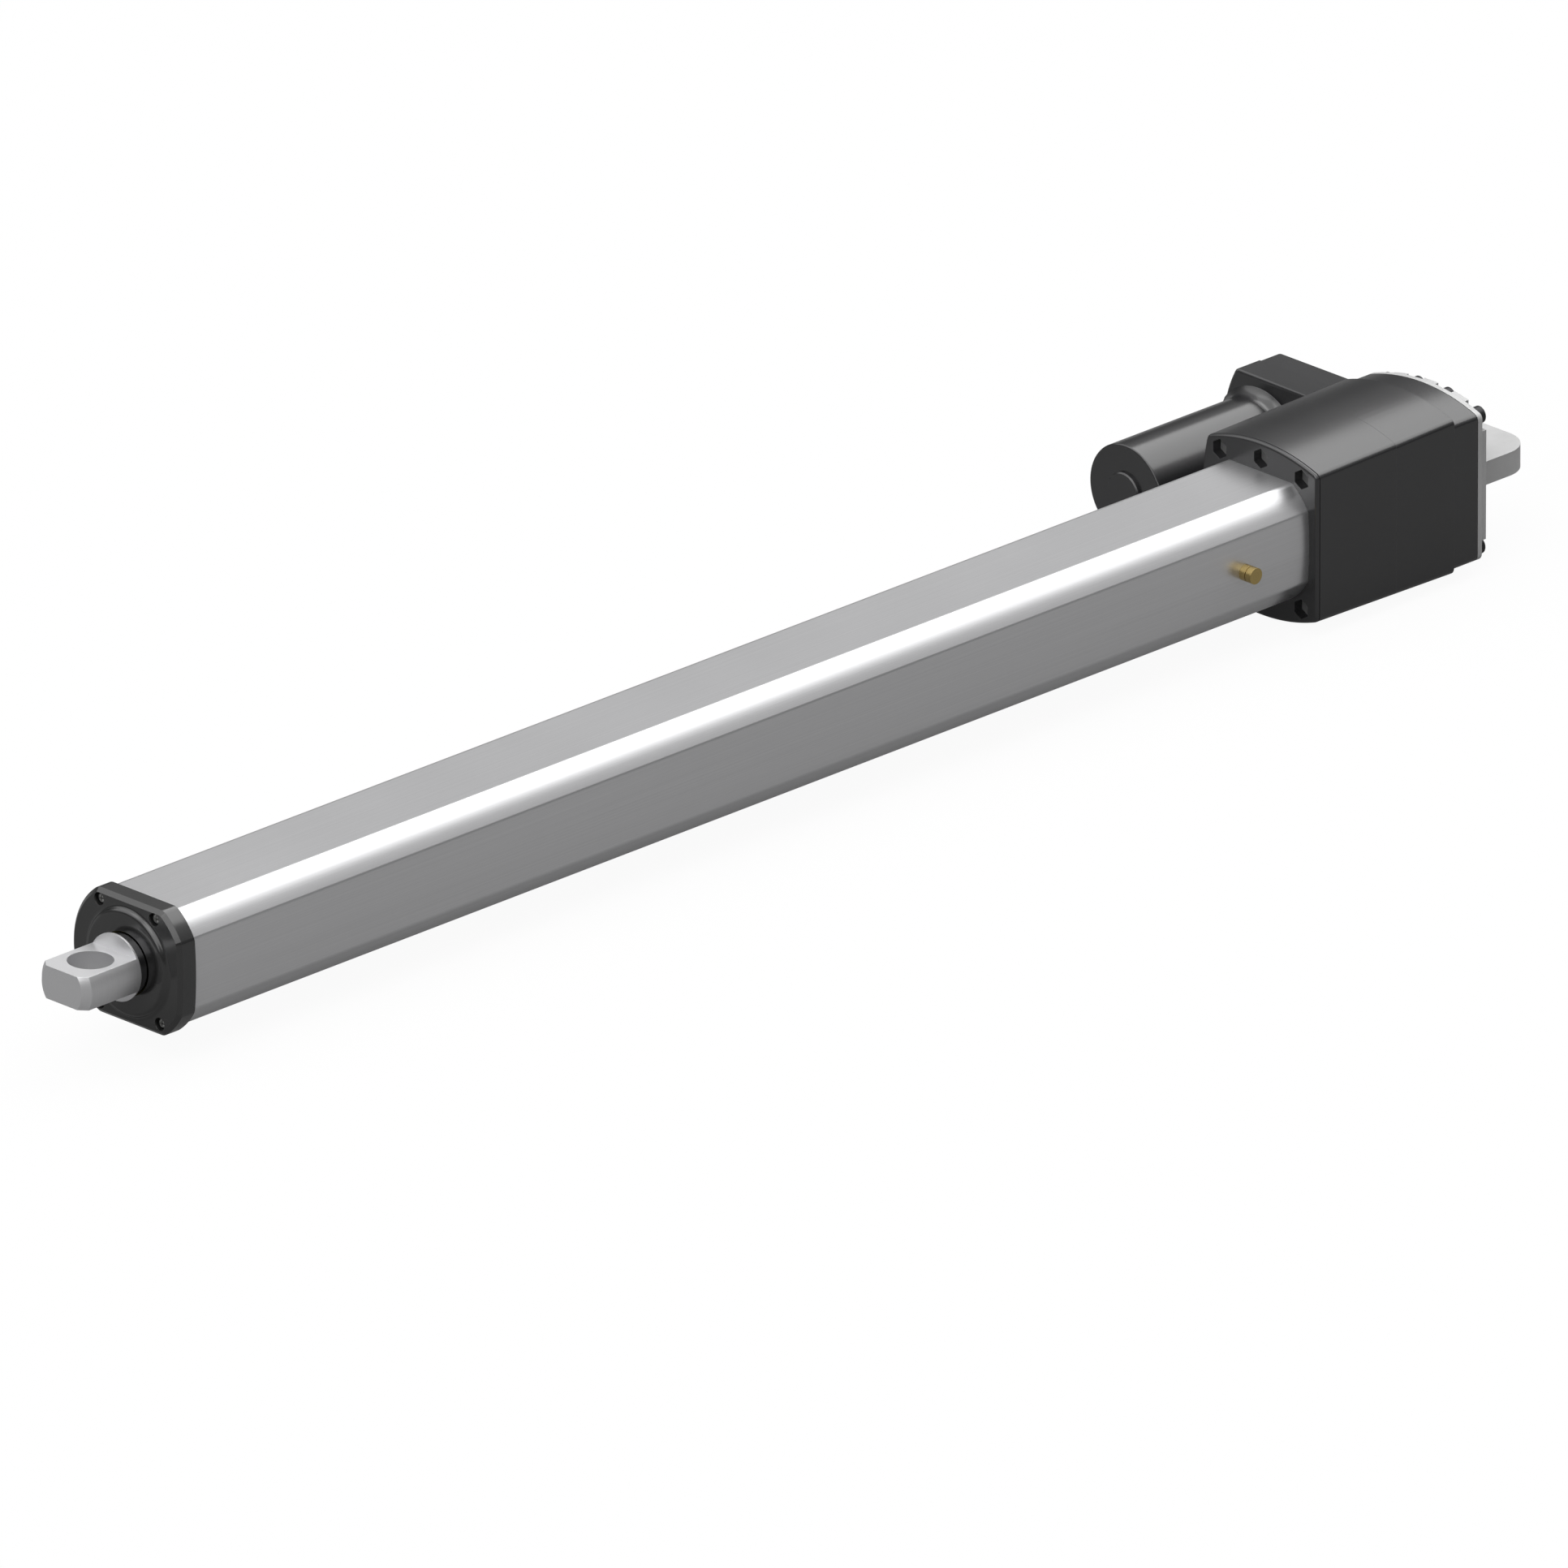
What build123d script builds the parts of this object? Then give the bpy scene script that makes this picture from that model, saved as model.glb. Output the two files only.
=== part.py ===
from build123d import *

import os
from math import acos, cos, pi, radians, sin, sqrt, tan

os.makedirs("parts", exist_ok=True)

# Linear actuator that tilts a solar tracker table, shown with its rod drawn in.
# Sizes are in millimetres. The origin is the centre of the rear pin hole, +X is the way the rod
# travels, +Z runs along both pin holes, and the motor lies on the -Y side.

# Rear plate and tang
pin_bore_r = 12.7
tang_thickness = 13.7
tang_half_width = 30.5
tang_end = 26.7
tang_corner = 19.6
pin_to_plate = 26.4
plate_base = 3.7
plate_edge_round = 0.8
pad_height = 3.8
pad_inset = 1.2
plate_spigot = 2.0
gasket_thickness = 0.4
core_depth = 3.0
core_corner = 2.5
core_rib = 4.0
core_rim = 12.0

# Gearbox body, in three castings along X
cover_depth = 17.8
main_depth = 44.5
flange_depth = 61.3
crown_rear = 50.0
crown_step = 52.3
crown_flange = 50.4
crown_radius = 117.0
bow_height = 5.1
bow_setback = 1.7
outline_corner = 4.0
side_wall = 3.6
flange_round = 1.9
groove_width = 0.65
groove_depth = 0.6
groove_setback = 2.0
casting_wall = 3.0

# Side wing that carries the motor
wing_depth = 36.1
wing_wall = 5.9
wing_step = 0.9
wing_arc_r = 75.5
wing_rim = 0.6
wing_corner = 3.0
wing_edge_round = 2.2
wing_front_wall = 5.0

# Reduction gears: first pair motor to idler, second pair idler to screw
pressure_angle = radians(20)
addendum = 0.85
dedendum = 1.25
backlash = 0.08
tooth_foot = 0.9
first_module = 1.25
motor_teeth = 14
idler_teeth = 46
first_face = 9.0
second_module = 1.75
pinion_teeth = 16
screw_teeth = 42
second_face = 13.0
gear_room = 0.9
gear_gap = 1.5
idler_shaft_r = 5.0
bush_wall = 2.0
bush_length = 4.0
shaft_end_gap = 0.3
running_clearance = 0.05

# Screw, nut and thrust bearings
stroke = 600.0
screw_r = 12.0
screw_lead = 5.0
journal_r = 10.0
bearing_outer_r = 23.5
bearing_width = 14.0
bearing_race = 4.0
bearing_gap = 0.3
bearing_split = 0.2
screw_collar = 5.0
lock_nut_width = 3.0
lock_nut_r = 15.0
screw_tip_r = 8.0
screw_tip_length = 15.0
tip_bush_length = 12.0
nut_body_r = 23.0
nut_flange_r = 27.0
nut_flange_width = 10.0
nut_length = 65.0
nut_socket = 20.0
nut_setback = 16.0
retainer_width = 2.0
thread_clearance = 0.1

# Outer tube, an extruded round section with two flats and a nearly flat +Y side
barrel_exposed = 845.0
barrel_socket = 12.0
barrel_flat = 33.7
barrel_side = 37.1
barrel_corner_r = 41.4
barrel_side_r = 222.0
barrel_blend = 4.0
barrel_bore_r = 30.0
key_width = 8.0
key_depth = 3.0
seat_clearance = 0.1
sliding_clearance = 0.1

# Front cap, rod guide and wiper
cap_depth = 11.8
cap_overhang = 2.3
cap_chamfer = 2.3
boss_height = 2.7
boss_foot_r = 32.4
boss_top_r = 27.7
cap_bore_clearance = 0.65
lip_depth = 2.0
wiper_width = 5.6
wiper_wall = 4.0
guide_gap = 2.0
guide_length = 30.0
guide_wall = 3.0
spigot_length = 36.0
seal_width = 3.0
seal_depth = 1.8
seal_setback = 12.0

# Rod and rod end
rod_r = 17.5
rod_wall = 5.0
rod_gap = 6.2
rod_end_r = 19.05
rod_end_collar = 1.2
rod_end_flats = 19.05
rod_end_pin = 18.1
rod_end_tip = 21.6
rod_end_chamfer = 4.0
rod_end_spigot = 30.0

# Fasteners
screw_m6_r = 3.0
m6_hole_r = 3.3
m6_head_r = 4.9
m6_head_height = 6.0
m6_socket = 5.0
m6_socket_depth = 3.0
m6_head_room = 0.05
head_notch_r = 6.2
plate_screw_length = 50.0
plate_screw_spots = [(11.3, 42.5), (34.2, 38.1)]
flange_screw_length = 24.0
flange_screw_spots = [(0.0, 41.1), (31.0, 37.8)]
flange_screw_floor = 12.0
hex_pocket = 10.0
hex_pocket_depth = 9.0
hex_plug_sink = 5.8
hex_plug_fit = 0.03
screw_m3_r = 1.5
m3_hole_r = 1.6
m3_head_r = 2.9
m3_head_height = 2.2
port_r = 1.55
port_spots = [(-22.1, 30.0), (19.3, 30.1), (23.6, -28.9), (-22.0, -29.5)]
cap_counterbore_r = 3.65
cap_counterbore = 4.0
cap_screw_length = 22.0
barrel_screw_length = 68.0
barrel_screw_sink = 4.0

# Grease nipple
nipple_from_flange = 49.3
nipple_r = 4.6
nipple_height = 8.4
nipple_groove = 0.5
nipple_groove_depth = 0.6
nipple_stub_r = 3.0
nipple_stub = 3.4
grease_duct_r = 1.2

# Motor
motor_cover_r = 27.25
motor_cover_wall = 2.5
motor_cover_length = 102.0
motor_cover_round = 1.0
flare_width = 4.4
flare_length = 8.0
plug_r = 11.8
plug_height = 2.2
plug_stub_r = 8.0
can_clearance = 0.3
can_wall = 2.0
can_length = 78.0
end_plate_width = 4.0
brush_cap_width = 8.0
motor_shaft_r = 4.0
motor_bush_wall = 3.0
magnet_wall = 2.0
magnet_length = 44.0
magnet_half_gap = 9.0
air_gap = 0.7
core_length = 38.0
core_start = 15.0
slot_count = 8
slot_width = 3.0
slot_depth = 9.0
winding_length = 7.0
winding_r = 16.5
commutator_r = 9.0
commutator_length = 12.0
brush_width = 6.0
brush_length = 8.0
seal_ring_r = 26.0
seal_ring_width = 1.6
seal_ring_depth = 1.2

# Cable gland on the end of the wing, and the pulse sensor on the screw
gland_from_step = 9.2
gland_z = -14.0
gland_hex = 13.0
gland_hex_height = 4.0
gland_sink = 1.0
gland_spot_room = 0.4
gland_neck_r = 5.0
gland_neck = 5.0
gland_nut_r = 6.4
gland_nut_height = 8.0
gland_nut_round = 1.6
gland_thread = 6.0
cable_r = 2.75
duct_r = 3.0
duct_length = 17.5
gland_seal_r = 4.0
magnet_ring_r = 17.0
magnet_ring_width = 5.0
magnet_ring_gap = 2.0
sensor_board = (16.0, 8.0, 1.6)
sensor_board_z = 22.5
sensor_chip = (5.0, 3.0, 1.2)


def tip_radius(teeth, module):
    """Outside radius of a gear."""
    return module * (teeth / 2 + addendum)


# Places along X, each from the piece before it
pad_back = pin_to_plate - pad_height
plate_front = pin_to_plate + plate_base
cover_back = plate_front + gasket_thickness
step_x = cover_back + cover_depth
seam_x = step_x + main_depth
flange_x = seam_x + flange_depth
barrel_back = flange_x - barrel_socket
barrel_front = flange_x + barrel_exposed
cap_front = barrel_front + cap_depth
boss_front = cap_front + boss_height
rod_end_back = boss_front + rod_gap
shoulder_x = rod_end_back + rod_end_collar
rod_pin_x = shoulder_x + rod_end_pin
rod_tip_x = rod_pin_x + rod_end_tip
wing_front = cover_back + wing_depth
gear_back = cover_back + casting_wall
gear_front = wing_front - wing_front_wall

# Gear centres and the room that the gears need
first_centre = first_module * (motor_teeth + idler_teeth) / 2
second_centre = second_module * (pinion_teeth + screw_teeth) / 2
idler_y = -second_centre
motor_y = -second_centre - first_centre
screw_gear_room = tip_radius(screw_teeth, second_module) + gear_room
idler_gear_room = tip_radius(idler_teeth, first_module) + gear_room
motor_gear_room = tip_radius(motor_teeth, first_module) + gear_room
body_side = screw_gear_room + side_wall
body_bow = body_side - bow_setback
wing_half_height = idler_gear_room + wing_wall
wing_end = motor_y - motor_cover_r - wing_rim
second_back = gear_back + bush_length / 2 + gear_room
second_front = second_back + second_face
first_back = second_front + gear_gap
first_front = first_back + first_face
bearing_back = seam_x - 2 * bearing_width - bearing_split
nut_back = flange_x + nut_setback
screw_thread_end = nut_back + nut_length + stroke
rod_back = nut_back + nut_length - nut_socket
motor_axis = Axis((0, motor_y, 0), (1, 0, 0))
idler_spot = (idler_y, 0)
motor_spot = (motor_y, 0)

# The gland's seat is a flat spot just inside the end of the wing
gland_seat_y = wing_end + gland_sink
gland_plane = Plane(origin=(step_x + gland_from_step, gland_seat_y, gland_z), z_dir=(0, -1, 0))


def cross_plane(x, y=0.0):
    """Plane across the push axis: its own x is +Y and its own y is +Z."""
    return Plane(origin=(x, y, 0), x_dir=(0, 1, 0), z_dir=(1, 0, 0))


def along_plane(y=0.0):
    """Plane along the push axis, for turned profiles: its own x is +X and its own y is +Z."""
    return Plane(origin=(0, y, 0), x_dir=(1, 0, 0), z_dir=(0, -1, 0))


def turned(start, end, radius, centre=(0.0, 0.0), mode=Mode.ADD):
    """Add or cut a round length between two places on X in the piece being made."""
    with BuildSketch(cross_plane(start)) as disc:
        with Locations(centre):
            Circle(radius)
    extrude(disc.sketch, amount=end - start, mode=mode)


def disc_on(plane, radius, amount, mode=Mode.ADD):
    """Add or cut a round length that starts at the plane's origin in the piece being made."""
    with BuildSketch(plane) as disc:
        Circle(radius)
    extrude(disc.sketch, amount=amount, mode=mode)


def ring(start, end, outer, inner, centre=(0.0, 0.0)):
    """Add a plain ring between two places on X."""
    with BuildSketch(cross_plane(start)) as annulus:
        with Locations(centre):
            Circle(outer)
            Circle(inner, mode=Mode.SUBTRACT)
    extrude(annulus.sketch, amount=end - start)


def four_ways(spots):
    """The spots in each of the four quarters, once each where one lies on the middle line."""
    quarters = {(sy * y, sz * z) for y, z in spots for sy in (-1, 1) for sz in (-1, 1)}
    return sorted({(y + 0.0, z) for y, z in quarters})


def crown_at(x):
    """Half height of the drafted body at x, ahead of the step."""
    return crown_step + (crown_flange - crown_step) * (x - step_x) / (flange_x - step_x)


def body_outline(x, crown, inset=0.0):
    """Outline of the gearbox: crowned top and bottom, a flat +Y side and a bowed -Y side."""
    def crown_z(y):
        return crown - crown_radius + sqrt((crown_radius - inset) ** 2 - y**2)

    flat_y = body_side - inset
    bow_y = inset - body_bow
    with BuildSketch(cross_plane(x)) as outline:
        with BuildLine():
            top = ThreePointArc((bow_y, crown_z(bow_y)), (0, crown_z(0)), (flat_y, crown_z(flat_y)))
            side = Line(top @ 1, (flat_y, -crown_z(flat_y)))
            bottom = ThreePointArc(side @ 1, (0, -crown_z(0)), (bow_y, -crown_z(bow_y)))
            ThreePointArc(bottom @ 1, (bow_y - bow_height, 0), top @ 0)
        make_face()
        fillet(outline.vertices(), outline_corner - inset)
    return outline


def wing_outline(x, half_height):
    """Outline of the side wing, which ends in an arc just outside the motor cover."""
    arc_centre = wing_end + wing_arc_r
    with BuildSketch(cross_plane(x)) as outline:
        with Locations((wing_end / 2, 0)):
            Rectangle(-wing_end, 2 * half_height)
        with Locations((arc_centre, 0)):
            Circle(wing_arc_r, mode=Mode.INTERSECT)
        fillet(outline.vertices().group_by(Axis.X)[0], wing_corner)
    return outline


def barrel_outline(x, grow=0.0):
    """Outline of the outer tube, grown all round where another piece fits over it."""
    with BuildSketch(cross_plane(x)) as outline:
        Circle(barrel_corner_r + grow)
        Rectangle(3 * barrel_corner_r, 2 * (barrel_flat + grow), mode=Mode.INTERSECT)
        with Locations((barrel_side - barrel_side_r, 0)):
            Circle(barrel_side_r + grow, mode=Mode.INTERSECT)
        fillet(outline.vertices(), barrel_blend + grow)
    return outline


def gear_cavity(start, end):
    """Cut the room for the three gear axes from the piece being made."""
    with BuildSketch(cross_plane(start)) as rooms:
        Circle(screw_gear_room)
        with Locations((idler_y, 0)):
            Circle(idler_gear_room)
        with Locations((motor_y, 0)):
            Circle(motor_gear_room)
    extrude(rooms.sketch, amount=end - start, mode=Mode.SUBTRACT)


def gear_face(x, y, teeth, module, bore_r, turn=0.0):
    """Face of an involute gear about (y, 0); its first tooth points along +Y, plus the turn in degrees."""
    pitch_r = module * teeth / 2
    base_r = pitch_r * cos(pressure_angle)
    root_r = pitch_r - dedendum * module
    start_r = max(base_r, root_r)
    tip_r = tip_radius(teeth, module)
    half_tooth = pi / (2 * teeth) - backlash / (2 * pitch_r) + tan(pressure_angle) - pressure_angle

    def flank(radius, side, at=None):
        lean = acos(min(1.0, base_r / (at or radius)))
        angle = side * (half_tooth - tan(lean) + lean)
        return (radius * cos(angle), radius * sin(angle))

    middle_r = (start_r + tip_r) / 2
    with BuildSketch(cross_plane(x, y)) as tooth:
        with BuildLine():
            Line(flank(tooth_foot * root_r, -1, start_r), flank(start_r, -1))
            ThreePointArc(flank(start_r, -1), flank(middle_r, -1), flank(tip_r, -1))
            ThreePointArc(flank(tip_r, -1), (tip_r, 0), flank(tip_r, 1))
            ThreePointArc(flank(tip_r, 1), flank(middle_r, 1), flank(start_r, 1))
            Line(flank(start_r, 1), flank(tooth_foot * root_r, 1, start_r))
            Line(flank(tooth_foot * root_r, 1, start_r), flank(tooth_foot * root_r, -1, start_r))
        make_face()
    with BuildSketch(cross_plane(x, y)) as gear:
        Circle(root_r)
        with PolarLocations(0, teeth, start_angle=turn):
            add(tooth.sketch_local)
        Circle(bore_r, mode=Mode.SUBTRACT)
    return gear.sketch


def socket_screw(head_back, spot, length, way=1):
    """Add one M6 socket cap screw whose head rests at head_back; way is the way the shank points on X."""
    turned(head_back - way * m6_head_height, head_back, m6_head_r, spot)
    turned(head_back, head_back + way * length, screw_m6_r, spot)
    with BuildSketch(cross_plane(head_back - way * m6_head_height)) as socket:
        with Locations(spot):
            RegularPolygon(m6_socket / 2, 6, major_radius=False)
    extrude(socket.sketch, amount=way * m6_socket_depth, mode=Mode.SUBTRACT)


def pan_screw(seat, spot, length, way=1):
    """Add one M3 screw whose round head rests at seat; way is the way the shank points on X."""
    turned(seat - way * m3_head_height, seat, m3_head_r, spot)
    turned(seat, seat + way * length, screw_m3_r, spot)


# Rear plate with its tang: the raised face is notched round each screw head and cored between its ribs
with BuildPart() as rear_plate:
    extrude(body_outline(pin_to_plate, crown_rear).sketch, amount=plate_base)
    fillet(rear_plate.edges().group_by(Axis.X)[0], plate_edge_round)
    turned(plate_front, cover_back + plate_spigot, screw_gear_room - casting_wall)
    extrude(body_outline(pad_back, crown_rear, pad_inset).sketch, amount=pad_height)
    with BuildSketch(cross_plane(pad_back)) as notches:
        for y, z in four_ways(plate_screw_spots):
            with Locations((y, z)):
                Circle(head_notch_r)
            with Locations((y, z + (crown_rear if z > 0 else -crown_rear) / 2)):
                Rectangle(2 * head_notch_r, crown_rear)
        for y, z in four_ways(plate_screw_spots[-1:]):
            with Locations((y + (body_side if y > 0 else -body_side) / 2, z)):
                Rectangle(body_side, 2 * head_notch_r)
    extrude(notches.sketch, amount=pad_height, mode=Mode.SUBTRACT)
    core_low = tang_thickness / 2 + core_rib
    core_high = crown_rear - head_notch_r - core_rim
    core_outer = tang_half_width - core_rib
    with BuildSketch(cross_plane(pad_back)) as cores:
        for sy in (-1, 1):
            for sz in (-1, 1):
                with Locations((sy * (core_outer + core_rib) / 2, sz * (core_low + core_high) / 2)):
                    RectangleRounded(core_outer - core_rib, core_high - core_low, core_corner)
    extrude(cores.sketch, amount=core_depth, mode=Mode.SUBTRACT)
    with BuildSketch(Plane.XY.offset(-tang_thickness / 2)) as tang:
        with Locations(((pin_to_plate - tang_end) / 2, 0)):
            Rectangle(pin_to_plate + tang_end, 2 * tang_half_width)
        fillet(tang.vertices().group_by(Axis.X)[0], tang_corner)
        Circle(pin_bore_r, mode=Mode.SUBTRACT)
    extrude(tang.sketch, amount=tang_thickness)
    for spot in four_ways(plate_screw_spots):
        turned(pin_to_plate, plate_front, m6_hole_r, spot, mode=Mode.SUBTRACT)

# Gasket between the rear plate and the gear cover
with BuildPart() as rear_gasket:
    extrude(body_outline(plate_front, crown_rear).sketch, amount=gasket_thickness)
    turned(plate_front, cover_back, screw_gear_room - casting_wall + seat_clearance, mode=Mode.SUBTRACT)
    for spot in four_ways(plate_screw_spots):
        turned(plate_front, cover_back, m6_hole_r, spot, mode=Mode.SUBTRACT)

# Eight socket cap screws that hold the rear plate and the gear cover to the main housing
with BuildPart() as rear_screws:
    for spot in four_ways(plate_screw_spots):
        socket_screw(pin_to_plate, spot, plate_screw_length)

# Gear cover: the rear casting of the gearbox and of the side wing
with BuildPart() as gear_cover:
    extrude(body_outline(cover_back, crown_rear).sketch, amount=cover_depth)
    extrude(wing_outline(cover_back, wing_half_height).sketch, amount=cover_depth)
    back_edges = gear_cover.edges().group_by(Axis.X)[0]
    fillet(back_edges.filter_by(lambda edge: edge.center().Y < -body_bow - bow_height), wing_edge_round)
    gear_cavity(gear_back, step_x)
    turned(gear_back, gear_back + bush_length / 2, idler_shaft_r + bush_wall + casting_wall, (idler_y, 0))
    bush_seat_back = gear_back - bush_length / 2
    turned(bush_seat_back, step_x, idler_shaft_r + bush_wall, (idler_y, 0), mode=Mode.SUBTRACT)
    turned(cover_back, gear_back, screw_gear_room - casting_wall + seat_clearance, mode=Mode.SUBTRACT)
    for spot in four_ways(plate_screw_spots):
        turned(cover_back, step_x, m6_hole_r, spot, mode=Mode.SUBTRACT)

# Main housing: the middle casting, which holds the screw bearings, the idler and the motor
plate_screw_end = pin_to_plate + plate_screw_length
with BuildPart() as main_housing:
    sections = [body_outline(step_x, crown_step), body_outline(seam_x, crown_at(seam_x))]
    loft([section.sketch.face() for section in sections])
    extrude(wing_outline(step_x, wing_half_height + wing_step).sketch, amount=wing_front - step_x)
    wing_edges = main_housing.edges().filter_by(lambda edge: edge.center().Y < -body_bow - bow_height)
    fillet(wing_edges.group_by(Axis.X)[-1], wing_edge_round)
    gear_cavity(step_x, gear_front)
    turned(gear_front, gear_front + bush_length, idler_shaft_r + bush_wall, idler_spot, mode=Mode.SUBTRACT)
    turned(gear_front, wing_front, motor_gear_room, motor_spot, mode=Mode.SUBTRACT)
    turned(gear_front, bearing_back, bearing_outer_r - bearing_race, mode=Mode.SUBTRACT)
    turned(bearing_back, seam_x, bearing_outer_r, mode=Mode.SUBTRACT)
    with BuildSketch(cross_plane(wing_front, motor_y)) as seal_groove:
        Circle(seal_ring_r)
        Circle(seal_ring_r - seal_ring_width, mode=Mode.SUBTRACT)
    extrude(seal_groove.sketch, amount=-seal_ring_depth, mode=Mode.SUBTRACT)
    for spot in four_ways(plate_screw_spots):
        turned(step_x, plate_screw_end, screw_m6_r, spot, mode=Mode.SUBTRACT)
    for spot in four_ways(flange_screw_spots):
        screw_hole_start = seam_x + flange_screw_floor - flange_screw_length
        turned(screw_hole_start, seam_x, screw_m6_r, spot, mode=Mode.SUBTRACT)
    disc_on(gland_plane, gland_neck_r, -gland_thread, mode=Mode.SUBTRACT)
    disc_on(gland_plane, gland_hex / sqrt(3) + gland_spot_room, gland_thread, mode=Mode.SUBTRACT)
    disc_on(gland_plane, duct_r, -duct_length, mode=Mode.SUBTRACT)
    duct_turn = (gland_seat_y + duct_length - duct_r, gland_z)
    turned(step_x + gland_from_step, wing_front, duct_r, duct_turn, mode=Mode.SUBTRACT)

# Flange housing: the front casting, with the socket for the outer tube and six hexagonal screw pockets
sensor_width, sensor_height, sensor_thickness = sensor_board
flange_room_start = seam_x + screw_collar
with BuildPart() as flange_housing:
    sections = [body_outline(seam_x, crown_at(seam_x)), body_outline(flange_x, crown_flange)]
    loft([section.sketch.face() for section in sections])
    fillet(flange_housing.edges().group_by(Axis.X)[-1], flange_round)
    groove_x = flange_x - groove_setback
    with BuildSketch(cross_plane(groove_x)) as parting_groove:
        Rectangle(4 * crown_step, 4 * crown_step)
        add(body_outline(groove_x, crown_flange, groove_depth).sketch_local, mode=Mode.SUBTRACT)
    extrude(parting_groove.sketch, amount=-groove_width, mode=Mode.SUBTRACT)
    extrude(barrel_outline(barrel_back, seat_clearance).sketch, amount=barrel_socket, mode=Mode.SUBTRACT)
    turned(flange_room_start, barrel_back, barrel_bore_r - casting_wall / 2, mode=Mode.SUBTRACT)
    turned(seam_x, flange_room_start, bearing_outer_r - bearing_race, mode=Mode.SUBTRACT)
    with BuildSketch(cross_plane(flange_x)) as pockets:
        with Locations(*four_ways(flange_screw_spots)):
            RegularPolygon(hex_pocket / 2, 6, major_radius=False, rotation=30)
    extrude(pockets.sketch, amount=-hex_pocket_depth, mode=Mode.SUBTRACT)
    pocket_floor_x = flange_x - hex_pocket_depth
    flange_head_seat = seam_x + flange_screw_floor
    for spot in four_ways(flange_screw_spots):
        turned(flange_head_seat, pocket_floor_x, m6_head_r + m6_head_room, spot, mode=Mode.SUBTRACT)
        turned(seam_x, flange_head_seat, m6_hole_r, spot, mode=Mode.SUBTRACT)
    barrel_head_seat = seam_x + barrel_screw_sink
    for spot in port_spots:
        turned(barrel_head_seat, barrel_back, m3_hole_r, spot, mode=Mode.SUBTRACT)
        turned(seam_x, barrel_head_seat, m3_head_r + seat_clearance, spot, mode=Mode.SUBTRACT)

# Six socket cap screws in the bores behind the pockets, down into the main housing
with BuildPart() as flange_screws:
    for spot in four_ways(flange_screw_spots):
        socket_screw(flange_head_seat, spot, flange_screw_length, way=-1)

# Six hexagonal plugs that close the pockets over the screw bores
with BuildPart() as flange_plugs:
    with BuildSketch(cross_plane(pocket_floor_x)) as plugs:
        with Locations(*four_ways(flange_screw_spots)):
            RegularPolygon(hex_pocket / 2 - hex_plug_fit, 6, major_radius=False, rotation=30)
    extrude(plugs.sketch, amount=hex_pocket_depth - hex_plug_sink)

# Outer tube: round bore with two key grooves in its thick sides and four screw ports in its corners
nipple_plane = Plane(origin=(flange_x + nipple_from_flange, barrel_side, 0), z_dir=(0, 1, 0))
with BuildPart() as barrel:
    with BuildSketch(cross_plane(barrel_back)) as section:
        add(barrel_outline(barrel_back).sketch_local)
        Circle(barrel_bore_r, mode=Mode.SUBTRACT)
        Rectangle(2 * (barrel_bore_r + key_depth), key_width, mode=Mode.SUBTRACT)
        with Locations(*port_spots):
            Circle(port_r, mode=Mode.SUBTRACT)
    extrude(amount=barrel_front - barrel_back)
    disc_on(nipple_plane, nipple_stub_r, -nipple_stub, mode=Mode.SUBTRACT)
    disc_on(nipple_plane, grease_duct_r, barrel_bore_r - barrel_side - key_depth, mode=Mode.SUBTRACT)

# Four long screws from inside the gearbox into the corner ports of the tube
with BuildPart() as barrel_screws:
    for spot in port_spots:
        pan_screw(barrel_head_seat, spot, barrel_screw_length)

# Grease nipple on the +Y side of the tube: a brass collar and head with a groove between them
with BuildPart() as grease_nipple:
    disc_on(nipple_plane, nipple_r, nipple_height)
    disc_on(nipple_plane, nipple_stub_r, -nipple_stub)
    groove_plane = nipple_plane.offset((nipple_height - nipple_groove) / 2)
    with BuildSketch(groove_plane) as nipple_ring:
        Circle(nipple_r)
        Circle(nipple_r - nipple_groove_depth, mode=Mode.SUBTRACT)
    extrude(nipple_ring.sketch, amount=nipple_groove, mode=Mode.SUBTRACT)
    disc_on(nipple_plane, grease_duct_r, -nipple_stub, mode=Mode.SUBTRACT)

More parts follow.
